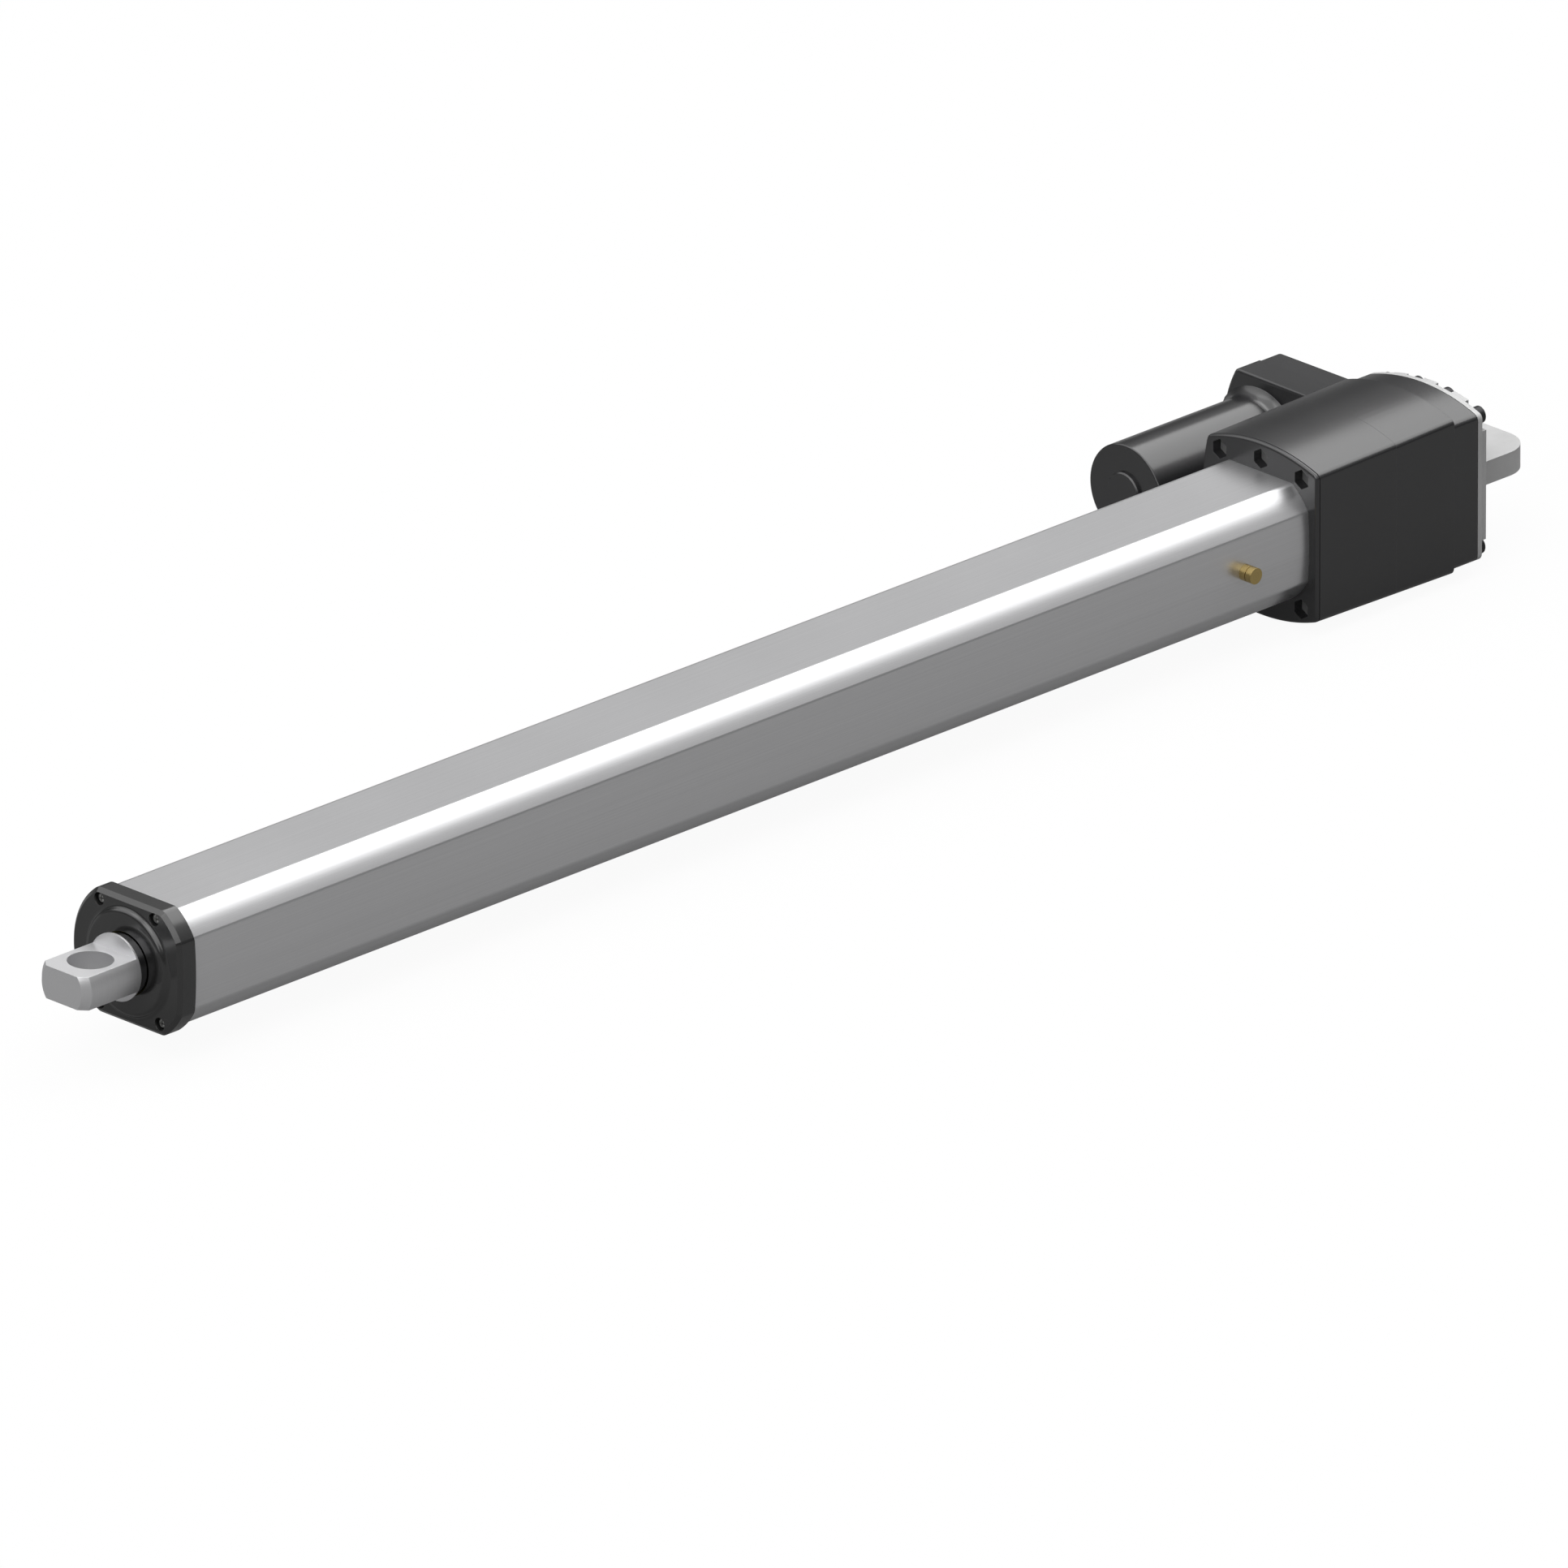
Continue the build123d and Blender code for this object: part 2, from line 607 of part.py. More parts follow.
# Front cap: chamfered plate, soft round boss and a spigot inside the tube that holds the rod guide
spigot_back = barrel_front - spigot_length
cap_bore_r = rod_r + cap_bore_clearance
guide_r = rod_r + running_clearance + guide_wall
wiper_r = rod_r + sliding_clearance + wiper_wall
wiper_front = boss_front - lip_depth
wiper_back = wiper_front - wiper_width
guide_front = wiper_back - guide_gap
guide_back = guide_front - guide_length
seal_start = barrel_front - seal_setback
with BuildPart() as front_cap:
    extrude(barrel_outline(barrel_front, cap_overhang).sketch, amount=cap_depth)
    chamfer(front_cap.edges().group_by(Axis.X)[-1], cap_chamfer)
    turned(spigot_back, barrel_front, barrel_bore_r - seat_clearance)
    with BuildSketch(along_plane()) as boss_profile:
        with BuildLine():
            middle = ((boss_top_r + boss_foot_r) / 2, boss_height / 2)
            crest = (cap_front + middle[1], middle[0])
            TangentArc((boss_front, boss_top_r), crest, tangent=(0, 1))
            TangentArc((cap_front, boss_foot_r), crest, tangent=(0, -1))
            Polyline((cap_front, boss_foot_r), (cap_front, 0), (boss_front, 0), (boss_front, boss_top_r))
        make_face()
    revolve(boss_profile.sketch, axis=Axis.X)
    turned(spigot_back, guide_front, guide_r, mode=Mode.SUBTRACT)
    turned(guide_front, boss_front, cap_bore_r, mode=Mode.SUBTRACT)
    turned(wiper_back, wiper_front, wiper_r, mode=Mode.SUBTRACT)
    with BuildSketch(cross_plane(seal_start)) as seal_groove:
        Circle(barrel_bore_r)
        Circle(barrel_bore_r - seal_depth, mode=Mode.SUBTRACT)
    extrude(seal_groove.sketch, amount=seal_width, mode=Mode.SUBTRACT)
    for spot in port_spots:
        turned(barrel_front, cap_front, m3_hole_r, spot, mode=Mode.SUBTRACT)
        turned(cap_front - cap_counterbore, cap_front, cap_counterbore_r, spot, mode=Mode.SUBTRACT)

# Four screws through the front cap into the tube's corner ports
with BuildPart() as front_cap_screws:
    for spot in port_spots:
        pan_screw(cap_front - cap_counterbore, spot, cap_screw_length, way=-1)

# Square seal ring round the cap's spigot
with BuildPart() as cap_seal:
    ring(seal_start, seal_start + seal_width, barrel_bore_r - seat_clearance / 2, barrel_bore_r - seal_depth)

# Guide bush that the rod slides in
with BuildPart() as rod_guide:
    ring(guide_back, guide_front, guide_r, rod_r + running_clearance)

# Wiper ring just behind the lip of the cap
with BuildPart() as rod_wiper:
    ring(wiper_back, wiper_front, wiper_r, rod_r + sliding_clearance)

# Rod: a polished tube that carries the nut at its back and the rod end at its front
with BuildPart() as rod_tube:
    ring(rod_back, rod_end_back, rod_r, rod_r - rod_wall)

# Rod end: turned bar with a thin collar, two flats, a cross hole and a chamfered nose
with BuildPart() as rod_end:
    turned(rod_end_back, rod_tip_x, rod_end_r)
    chamfer(rod_end.edges().group_by(Axis.X)[-1], rod_end_chamfer)
    for way in (-1, 1):
        with BuildSketch(Plane.XY.offset(way * rod_end_flats / 2)) as flat:
            with Locations(((shoulder_x + rod_tip_x) / 2, 0)):
                Rectangle(rod_tip_x - shoulder_x, 2 * rod_end_r)
        extrude(flat.sketch, amount=way * rod_end_r, mode=Mode.SUBTRACT)
    turned(rod_end_back - rod_end_spigot, rod_end_back, rod_r - rod_wall)
    with BuildSketch(Plane.XY.offset(-rod_end_r)) as pin_hole:
        with Locations((rod_pin_x, 0)):
            Circle(pin_bore_r)
    extrude(pin_hole.sketch, amount=2 * rod_end_r, mode=Mode.SUBTRACT)

# Bronze drive nut with a flange at its back and a socket for the rod at its front
nut_front = nut_back + nut_length
ring_back = nut_back + nut_flange_width
with BuildPart() as drive_nut:
    turned(nut_back, nut_front, nut_body_r)
    turned(nut_back, ring_back, nut_flange_r)
    turned(nut_back, nut_front, screw_r + thread_clearance, mode=Mode.SUBTRACT)
    turned(rod_back, nut_front, rod_r, mode=Mode.SUBTRACT)

# Guide ring whose two keys run in the tube's grooves and stop the nut from turning
with BuildPart() as guide_ring:
    key_clearance = 2 * sliding_clearance
    with BuildSketch(cross_plane(ring_back)) as keyed_ring:
        Circle(barrel_bore_r - sliding_clearance)
        Rectangle(2 * (barrel_bore_r + key_depth) - key_clearance, key_width - key_clearance)
        Circle(nut_body_r, mode=Mode.SUBTRACT)
    extrude(amount=rod_back - ring_back)

# Retaining ring in front of the guide ring
with BuildPart() as guide_retainer:
    ring(rod_back, rod_back + retainer_width, nut_flange_r, nut_body_r)

# Lead screw: journal for the gear and the bearings, thrust collar, threaded length and tip
screw_tip_x = screw_thread_end + screw_tip_length
with BuildPart() as lead_screw:
    turned(second_back - lock_nut_width, seam_x, journal_r)
    turned(seam_x, seam_x + screw_collar, journal_r + bearing_race)
    turned(seam_x + screw_collar, screw_thread_end, screw_r)
    turned(screw_thread_end, screw_tip_x, screw_tip_r)

# Bush on the screw's tip, which rides inside the rod
with BuildPart() as screw_tip_bush:
    tip_bush_r = rod_r - rod_wall - sliding_clearance
    ring(screw_thread_end, screw_thread_end + tip_bush_length, tip_bush_r, screw_tip_r)

# Gear on the screw: 42 teeth, turned by half a tooth so that it meshes with the idler's pinion
with BuildPart() as screw_gear:
    screw_face = gear_face(second_back, 0, screw_teeth, second_module, journal_r, 180 / screw_teeth)
    extrude(screw_face, amount=second_face)

# Lock nut behind the gear
with BuildPart() as gear_lock_nut:
    ring(second_back - lock_nut_width, second_back, lock_nut_r, journal_r)

# Spacer between the gear and the bearings
with BuildPart() as bearing_spacer:
    ring(second_front, bearing_back, journal_r + bearing_race, journal_r)

# Two thrust bearings side by side: outer rings with their shields, and inner rings on the screw
with BuildPart() as bearing_outer_rings:
    for start in (bearing_back, seam_x - bearing_width):
        ring(start, start + bearing_width, bearing_outer_r, journal_r + bearing_race + bearing_gap)
with BuildPart() as bearing_inner_rings:
    for start in (bearing_back, seam_x - bearing_width):
        ring(start, start + bearing_width, journal_r + bearing_race, journal_r)

# Magnet ring on the screw and the sensor board that counts its turns
magnet_ring_start = seam_x + screw_collar + magnet_ring_gap
with BuildPart() as sensor_magnet:
    ring(magnet_ring_start, magnet_ring_start + magnet_ring_width, magnet_ring_r, screw_r)
with BuildPart() as sensor_circuit:
    with BuildSketch(cross_plane(flange_room_start)) as board:
        with Locations((0, sensor_board_z)):
            Rectangle(sensor_width, sensor_height)
    extrude(board.sketch, amount=sensor_thickness)
    chip_width, chip_height, chip_thickness = sensor_chip
    with BuildSketch(cross_plane(flange_room_start + sensor_thickness)) as chip:
        with Locations((0, sensor_board_z)):
            Rectangle(chip_width, chip_height)
    extrude(chip.sketch, amount=chip_thickness)

# Idler: a shaft with the large gear of the first pair and the pinion of the second pair
bush_front_end = gear_front + bush_length
with BuildPart() as idler_shaft:
    turned(bush_seat_back + shaft_end_gap, bush_front_end - shaft_end_gap, idler_shaft_r, idler_spot)
with BuildPart() as idler_gear:
    idler_face = gear_face(first_back, idler_y, idler_teeth, first_module, idler_shaft_r, 180 / idler_teeth)
    extrude(idler_face, amount=first_face)
with BuildPart() as idler_pinion:
    pinion_face = gear_face(second_back, idler_y, pinion_teeth, second_module, idler_shaft_r)
    extrude(pinion_face, amount=second_face)
with BuildPart() as idler_bushes:
    bush_bore_r = idler_shaft_r + running_clearance
    ring(bush_seat_back, bush_seat_back + bush_length, idler_shaft_r + bush_wall, bush_bore_r, idler_spot)
    ring(gear_front, bush_front_end, idler_shaft_r + bush_wall, bush_bore_r, idler_spot)

# Motor casing: a can between an end plate and a brush cap, with two arc magnets inside
can_r = motor_cover_r - motor_cover_wall - can_clearance
can_back = wing_front + end_plate_width
can_front = can_back + can_length
brush_cap_front = can_front + brush_cap_width
motor_bush_r = motor_shaft_r + motor_bush_wall
with BuildPart() as motor_can:
    ring(can_back, can_front, can_r, can_r - can_wall, motor_spot)
with BuildPart() as motor_end_plate:
    ring(wing_front, can_back, can_r, motor_bush_r, motor_spot)
with BuildPart() as motor_brush_cap:
    ring(can_front, brush_cap_front, can_r, motor_bush_r, motor_spot)
with BuildPart() as motor_bushes:
    shaft_hole_r = motor_shaft_r + running_clearance
    ring(wing_front, can_back, motor_bush_r, shaft_hole_r, motor_spot)
    ring(can_front, brush_cap_front, motor_bush_r, shaft_hole_r, motor_spot)
magnet_r = can_r - can_wall
with BuildPart() as motor_magnets:
    with BuildSketch(cross_plane(can_back + core_start - (magnet_length - core_length) / 2, motor_y)) as arcs:
        Circle(magnet_r)
        Circle(magnet_r - magnet_wall, mode=Mode.SUBTRACT)
        Rectangle(3 * magnet_r, 2 * magnet_half_gap, mode=Mode.SUBTRACT)
    extrude(amount=magnet_length)

# Rotor: shaft, pinion, slotted core, end windings and commutator
core_r = magnet_r - magnet_wall - air_gap
core_back = can_back + core_start
core_front = core_back + core_length
commutator_back = core_front + winding_length + running_clearance
with BuildPart() as motor_shaft:
    turned(first_back, brush_cap_front, motor_shaft_r, motor_spot)
with BuildPart() as motor_pinion:
    motor_face = gear_face(first_back, motor_y, motor_teeth, first_module, motor_shaft_r)
    extrude(motor_face, amount=first_face)
with BuildPart() as armature_core:
    with BuildSketch(cross_plane(core_back, motor_y)) as lamination:
        Circle(core_r)
        with PolarLocations(core_r - slot_depth / 2, slot_count):
            Rectangle(slot_depth, slot_width, mode=Mode.SUBTRACT)
        Circle(motor_shaft_r, mode=Mode.SUBTRACT)
    extrude(amount=core_length)
with BuildPart() as armature_windings:
    ring(core_back - winding_length, core_back, winding_r, motor_shaft_r, motor_spot)
    ring(core_front, core_front + winding_length, winding_r, motor_shaft_r, motor_spot)
with BuildPart() as commutator:
    ring(commutator_back, commutator_back + commutator_length, commutator_r, motor_shaft_r, motor_spot)

# Carbon brushes above and below the commutator
with BuildPart() as motor_brushes:
    brush_middle_x = commutator_back + commutator_length / 2
    for way in (-1, 1):
        brush_foot = Plane.XY.offset(way * (commutator_r + bearing_gap))
        with BuildSketch(brush_foot) as brush:
            with Locations((brush_middle_x, motor_y)):
                Rectangle(brush_width, brush_width)
        extrude(brush.sketch, amount=way * brush_length)

# Motor cover: a drawn cup whose foot flares out onto the wing, inside the wing's outline
cover_front = wing_front + motor_cover_length
cup_room_end = cover_front - motor_cover_wall
with BuildPart() as motor_cover:
    with BuildSketch(along_plane(motor_y)) as flare:
        with BuildLine():
            foot = (wing_front, motor_cover_r + flare_width)
            neck = (wing_front + flare_length, motor_cover_r)
            TangentArc(neck, foot, tangent=(-1, 0))
            Polyline(foot, (wing_front, 0), (wing_front + flare_length, 0), neck)
        make_face()
    revolve(flare.sketch, axis=motor_axis)
    wing_face = wing_outline(wing_front, wing_half_height)
    extrude(wing_face.sketch, amount=flare_length, mode=Mode.INTERSECT)
    turned(wing_front, cover_front, motor_cover_r, motor_spot)
    fillet(motor_cover.edges().group_by(Axis.X)[-1], motor_cover_round)
    turned(wing_front, cup_room_end, motor_cover_r - motor_cover_wall, motor_spot, mode=Mode.SUBTRACT)
    turned(cup_room_end, cover_front, plug_stub_r, motor_spot, mode=Mode.SUBTRACT)

# Plug in the end of the motor cover, over the shaft's hand-drive end
with BuildPart() as cover_plug:
    turned(cover_front, cover_front + plug_height, plug_r, motor_spot)
    chamfer(cover_plug.edges().group_by(Axis.X)[-1], plug_height / 3)
    turned(cup_room_end, cover_front, plug_stub_r, motor_spot)

# Seal ring under the foot of the motor cover
with BuildPart() as motor_seal:
    ring(wing_front - seal_ring_depth, wing_front, seal_ring_r, seal_ring_r - seal_ring_width, motor_spot)

# Cable gland: hexagonal body, dome nut and rubber insert, with nothing through it
with BuildPart() as gland_body:
    with BuildSketch(gland_plane) as gland_hexagon:
        RegularPolygon(gland_hex / 2, 6, major_radius=False)
    extrude(gland_hexagon.sketch, amount=gland_hex_height)
    disc_on(gland_plane, gland_neck_r, -gland_thread)
    disc_on(gland_plane.offset(gland_hex_height), gland_neck_r, gland_neck)
    duct_reach = gland_thread + gland_hex_height + gland_neck
    disc_on(gland_plane.offset(-gland_thread), duct_r, duct_reach, mode=Mode.SUBTRACT)
nut_plane = gland_plane.offset(gland_hex_height)
with BuildPart() as gland_nut:
    disc_on(nut_plane, gland_nut_r, gland_nut_height)
    fillet(gland_nut.edges().group_by(Axis.Y)[0], gland_nut_round)
    disc_on(nut_plane, gland_neck_r, gland_neck, mode=Mode.SUBTRACT)
    disc_on(nut_plane.offset(gland_neck), gland_seal_r, gland_nut_height - gland_neck, mode=Mode.SUBTRACT)
with BuildPart() as gland_seal:
    disc_on(nut_plane.offset(gland_neck), gland_seal_r, gland_nut_height - gland_neck)
    disc_on(nut_plane.offset(gland_neck), cable_r, gland_nut_height - gland_neck, mode=Mode.SUBTRACT)

pieces = {
    "rear_plate": rear_plate,
    "rear_gasket": rear_gasket,
    "rear_screws": rear_screws,
    "gear_cover": gear_cover,
    "main_housing": main_housing,
    "flange_housing": flange_housing,
    "flange_screws": flange_screws,
    "flange_plugs": flange_plugs,
    "barrel": barrel,
    "barrel_screws": barrel_screws,
    "grease_nipple": grease_nipple,
    "front_cap": front_cap,
    "front_cap_screws": front_cap_screws,
    "cap_seal": cap_seal,
    "rod_guide": rod_guide,
    "rod_wiper": rod_wiper,
    "rod_tube": rod_tube,
    "rod_end": rod_end,
    "drive_nut": drive_nut,
    "guide_ring": guide_ring,
    "guide_retainer": guide_retainer,
    "lead_screw": lead_screw,
    "screw_tip_bush": screw_tip_bush,
    "screw_gear": screw_gear,
    "gear_lock_nut": gear_lock_nut,
    "bearing_spacer": bearing_spacer,
    "bearing_outer_rings": bearing_outer_rings,
    "bearing_inner_rings": bearing_inner_rings,
    "sensor_magnet": sensor_magnet,
    "sensor_circuit": sensor_circuit,
    "idler_shaft": idler_shaft,
    "idler_gear": idler_gear,
    "idler_pinion": idler_pinion,
    "idler_bushes": idler_bushes,
    "motor_can": motor_can,
    "motor_end_plate": motor_end_plate,
    "motor_brush_cap": motor_brush_cap,
    "motor_bushes": motor_bushes,
    "motor_magnets": motor_magnets,
    "motor_brushes": motor_brushes,
    "motor_shaft": motor_shaft,
    "motor_pinion": motor_pinion,
    "armature_core": armature_core,
    "armature_windings": armature_windings,
    "commutator": commutator,
    "motor_cover": motor_cover,
    "cover_plug": cover_plug,
    "motor_seal": motor_seal,
    "gland_body": gland_body,
    "gland_nut": gland_nut,
    "gland_seal": gland_seal,
}
for name, piece in pieces.items():
    piece.part.label = name
    export_step(piece.part, f"parts/{name}.step")
print(f"pin to pin {rod_pin_x:.2f} mm drawn in, {rod_pin_x + stroke:.2f} mm out")
print(f"{stroke / screw_lead:.0f} turns of the screw for the stroke, {len(pieces)} nodes")
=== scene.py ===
from math import cos, pi, radians, sin, tau

import bmesh
import bpy
from bpy.props import FloatProperty, FloatVectorProperty, IntProperty, PointerProperty
from bpy.types import Operator, Panel, PropertyGroup
from mathutils import Matrix, Vector


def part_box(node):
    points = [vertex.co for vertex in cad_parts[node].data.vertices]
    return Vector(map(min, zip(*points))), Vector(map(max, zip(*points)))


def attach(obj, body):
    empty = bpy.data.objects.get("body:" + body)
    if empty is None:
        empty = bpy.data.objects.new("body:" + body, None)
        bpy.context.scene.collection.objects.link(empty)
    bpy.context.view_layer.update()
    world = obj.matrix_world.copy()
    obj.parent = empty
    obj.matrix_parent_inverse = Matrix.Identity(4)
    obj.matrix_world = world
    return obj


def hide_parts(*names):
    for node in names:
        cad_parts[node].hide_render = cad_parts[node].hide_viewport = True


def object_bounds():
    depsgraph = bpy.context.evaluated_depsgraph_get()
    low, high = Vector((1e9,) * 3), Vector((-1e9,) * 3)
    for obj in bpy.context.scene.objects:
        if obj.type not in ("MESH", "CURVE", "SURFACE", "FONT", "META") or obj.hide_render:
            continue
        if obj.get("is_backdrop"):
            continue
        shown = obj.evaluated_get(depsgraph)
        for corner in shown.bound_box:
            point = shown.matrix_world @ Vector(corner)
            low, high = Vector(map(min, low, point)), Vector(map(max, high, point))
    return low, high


bl_info = {
    "name": "Solar tracker actuator",
    "version": (1, 0, 0),
    "blender": (4, 5, 0),
    "location": "3D View > Sidebar > Actuator",
    "description": "Finishes and fine detail for a linear actuator that tilts a solar tracker table",
    "category": "Object",
}

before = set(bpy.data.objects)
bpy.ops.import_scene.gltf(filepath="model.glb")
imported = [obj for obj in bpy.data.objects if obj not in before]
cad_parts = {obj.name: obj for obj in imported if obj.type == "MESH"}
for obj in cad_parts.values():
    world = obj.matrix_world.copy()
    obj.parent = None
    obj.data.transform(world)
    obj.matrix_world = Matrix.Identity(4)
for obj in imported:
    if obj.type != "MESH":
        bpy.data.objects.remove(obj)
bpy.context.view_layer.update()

MM = 0.001
WELD = 0.002 * MM
TOUCH = 0.01 * MM
EDGE_BREAK = 0.8 * MM
CROWN_SHARE = 0.75
RECESS_TAPER = 0.62
SCREW_STEPS = 32
SHAFT_STEPS = 48
THREAD_STEPS = 28
FLOOR_REACH = 60.0
LAMP_PLACES = {
    "key": (-0.65, -0.05, 0.76),
    "top": (0.10, 0.0, 1.0),
    "side": (0.40, -0.62, 0.67),
    "front": (0.74, 0.26, 0.62),
}


def colour(name, value, description):
    """A linear colour that the user can change."""
    return FloatVectorProperty(name=name, description=description, subtype="COLOR", size=3,
                               min=0.0, max=1.0, default=value)


def length(name, value, description):
    """A length in metres that the user can change."""
    return FloatProperty(name=name, description=description, subtype="DISTANCE", unit="LENGTH",
                         default=value, precision=5)


def share(name, value, description):
    """A plain number from nothing to one."""
    return FloatProperty(name=name, description=description, subtype="FACTOR", min=0.0, max=1.0, default=value)


class ActuatorFinishes(PropertyGroup):
    """Colours and roughness of the actuator's finishes."""

    casting_black: colour("Casting black", (0.016, 0.016, 0.017), "Semi-gloss coat on the gearbox castings")
    casting_roughness: share("Casting roughness", 0.24, "Roughness of the coat on the castings")
    cover_roughness: share("Motor cover roughness", 0.20, "Roughness of the coat on the motor cover")
    cap_black: colour("Cap black", (0.018, 0.018, 0.018), "Satin coat on the front cap")
    cap_roughness: share("Cap roughness", 0.17, "Roughness of the front cap")
    coat_gloss: share("Coat gloss", 0.85, "Strength of the gloss on the black coats")
    tube_silver: colour("Tube silver", (0.72, 0.72, 0.73), "Clear anodised outer tube")
    tube_roughness: share("Tube roughness", 0.30, "Roughness of the outer tube")
    plate_grey: colour("Rear plate grey", (0.62, 0.62, 0.62), "Blasted cast rear plate")
    rod_steel: colour("Rod steel", (0.34, 0.34, 0.35), "Polished rod")
    rod_end_steel: colour("Rod end steel", (0.74, 0.74, 0.75), "Turned rod end")
    brass: colour("Brass", (0.56, 0.42, 0.17), "Grease nipple")
    bronze: colour("Bronze", (0.48, 0.29, 0.13), "Nut and bushes")
    zinc: colour("Zinc", (0.50, 0.50, 0.49), "Plated small screws")
    oxide_black: colour("Oxide black", (0.022, 0.022, 0.024), "Socket cap screws")
    wiper_olive: colour("Wiper olive", (0.24, 0.21, 0.05), "Wiper ring in the cap")
    rubber_black: colour("Rubber black", (0.018, 0.018, 0.018), "Gasket, seals and cable insert")
    plastic_black: colour("Plastic black", (0.022, 0.022, 0.023), "Moulded cable gland")
    # Pale grey plugs: their tone is painted light that lifts the shaded floors of the hexagon pockets.
    pocket_plug_painted_light: colour("Plug grey", (0.24, 0.24, 0.24), "Moulded plugs in the hexagon pockets")
    bearing_white: colour("Bearing plastic", (0.66, 0.64, 0.56), "Guide ring and rod guide")
    magnet_grey: colour("Magnet grey", (0.10, 0.10, 0.11), "Sintered magnets")
    board_green: colour("Board green", (0.015, 0.12, 0.05), "Sensor circuit board")
    copper: colour("Copper", (0.55, 0.22, 0.09), "Commutator and windings")
    carbon: colour("Carbon", (0.035, 0.035, 0.036), "Motor brushes")
    gear_steel: colour("Gear steel", (0.38, 0.38, 0.39), "Hobbed gears and lead screw")


class ActuatorDetail(PropertyGroup):
    """Sizes of the fine detail that the solids leave out."""

    thread_lead: length("Thread lead", 5 * MM, "Travel for one turn of the lead screw")
    thread_radius: length("Thread radius", 12 * MM, "Outer radius of the lead screw's thread")
    thread_depth: length("Thread depth", 2.5 * MM, "Depth of the lead screw's thread")
    journal_radius: length("Journal radius", 10 * MM, "Radius of the lead screw where it carries its gear")
    collar_width: length("Collar width", 5 * MM, "Width of the thrust collar on the lead screw")
    tip_radius: length("Tip radius", 8 * MM, "Radius of the lead screw's plain tip")
    head_radius: length("Head radius", 2.9 * MM, "Radius of the heads of the cap screws")
    head_height: length("Head height", 2.2 * MM, "Height of the heads of the cap screws")
    shank_radius: length("Shank radius", 1.5 * MM, "Radius of the shanks of the cap screws")
    recess_width: length("Recess width", 0.9 * MM, "Width of the arms of the cross recess")
    recess_length: length("Recess length", 3.6 * MM, "Length of the arms of the cross recess")
    recess_depth: length("Recess depth", 1.4 * MM, "Depth of the cross recess")
    gland_neck: length("Gland neck", 5 * MM, "Length of the gland's neck inside its dome nut")
    gland_insert_radius: length("Gland insert radius", 4 * MM, "Radius of the rubber insert in the gland")
    rib_depth: length("Rib depth", 0.45 * MM, "Depth between the grip ribs of the gland's dome nut")
    rim_depth: length("Rim depth", 2.4 * MM, "Depth of the plain rim at the front of the main housing")
    wing_round: length("Wing round", 2.2 * MM, "Round of the wing's front edge")
    gland_ribs: IntProperty(name="Gland ribs", description="Grip ribs round the gland's dome nut",
                            default=12, min=4, max=24)


class ActuatorStudio(PropertyGroup):
    """Camera, lamps and floor."""

    azimuth: FloatProperty(name="Camera azimuth", description="Angle of the camera round the object",
                           subtype="ANGLE", default=radians(135))
    elevation: FloatProperty(name="Camera elevation", description="Angle of the camera above the horizon",
                             subtype="ANGLE", default=radians(22.55))
    frame_width: length("Frame width", 0.8414, "Width of what the camera sees at the object")
    aim: FloatVectorProperty(name="Aim", description="Point at the middle of the picture",
                             subtype="TRANSLATION", size=3, default=(0.5163, -0.0013, -0.0430))
    lens: FloatProperty(name="Lens", description="Focal length of the long lens", unit="CAMERA",
                        default=1700.0, min=50.0)
    key_level: FloatProperty(name="Key light", description="Light of the large soft lamp behind and above",
                             default=1.45, min=0.0)
    key_spread: FloatProperty(name="Key spread", description="Width of the key light seen from the object",
                              subtype="ANGLE", default=radians(57))
    top_level: FloatProperty(name="Top light", description="Light of the soft lamp overhead",
                             default=1.05, min=0.0)
    top_spread: FloatProperty(name="Top spread", description="Width of the top light seen from the object",
                              subtype="ANGLE", default=radians(68))
    side_level: FloatProperty(name="Side light", description="Light of the soft lamp on the motor's side",
                              default=0.55, min=0.0)
    side_spread: FloatProperty(name="Side spread", description="Width of the side light seen from the object",
                               subtype="ANGLE", default=radians(52))
    front_level: FloatProperty(name="Front light", description="Light of the soft lamp in front",
                               default=0.80, min=0.0)
    front_spread: FloatProperty(name="Front spread", description="Width of the front light seen from the object",
                                subtype="ANGLE", default=radians(50))
    sky: share("Sky", 0.18, "Level of the plain surroundings as a light")
    sky_shine: share("Sky shine", 0.76, "Level of the white surroundings that glossy surfaces show high up")
    horizon_shine: share("Horizon shine", 0.13, "Level that glossy surfaces show at the horizon")
    floor_colour: colour("Floor", (0.96, 0.96, 0.96), "Pale floor as the camera sees it")
    floor_bounce: colour("Floor bounce", (0.24, 0.24, 0.24), "Floor as the light that it throws back")
    floor_shine: share("Floor shine", 0.15, "How much of the white floor glossy surfaces show")
    floor_shadow: share("Floor shadow", 0.06, "How much of the real shading the camera sees on the floor")


def settings():
    """The three groups of values on the scene."""
    scene = bpy.context.scene
    return scene.actuator_finishes, scene.actuator_detail, scene.actuator_studio


class Wire:
    """A value on its way through a material, so that sums on it add the Math nodes."""

    def __init__(self, finish, socket):
        self.finish, self.socket = finish, socket

    def math(self, operation, first, second):
        return self.finish.node("ShaderNodeMath", {"operation": operation}, {0: first, 1: second})

    def __add__(self, other):
        return self.math("ADD", self, other)

    def __radd__(self, other):
        return self.math("ADD", other, self)

    def __sub__(self, other):
        return self.math("SUBTRACT", self, other)

    def __rsub__(self, other):
        return self.math("SUBTRACT", other, self)

    def __mul__(self, other):
        return self.math("MULTIPLY", self, other)

    def __rmul__(self, other):
        return self.math("MULTIPLY", other, self)

    def __pow__(self, other):
        return self.math("POWER", self, other)


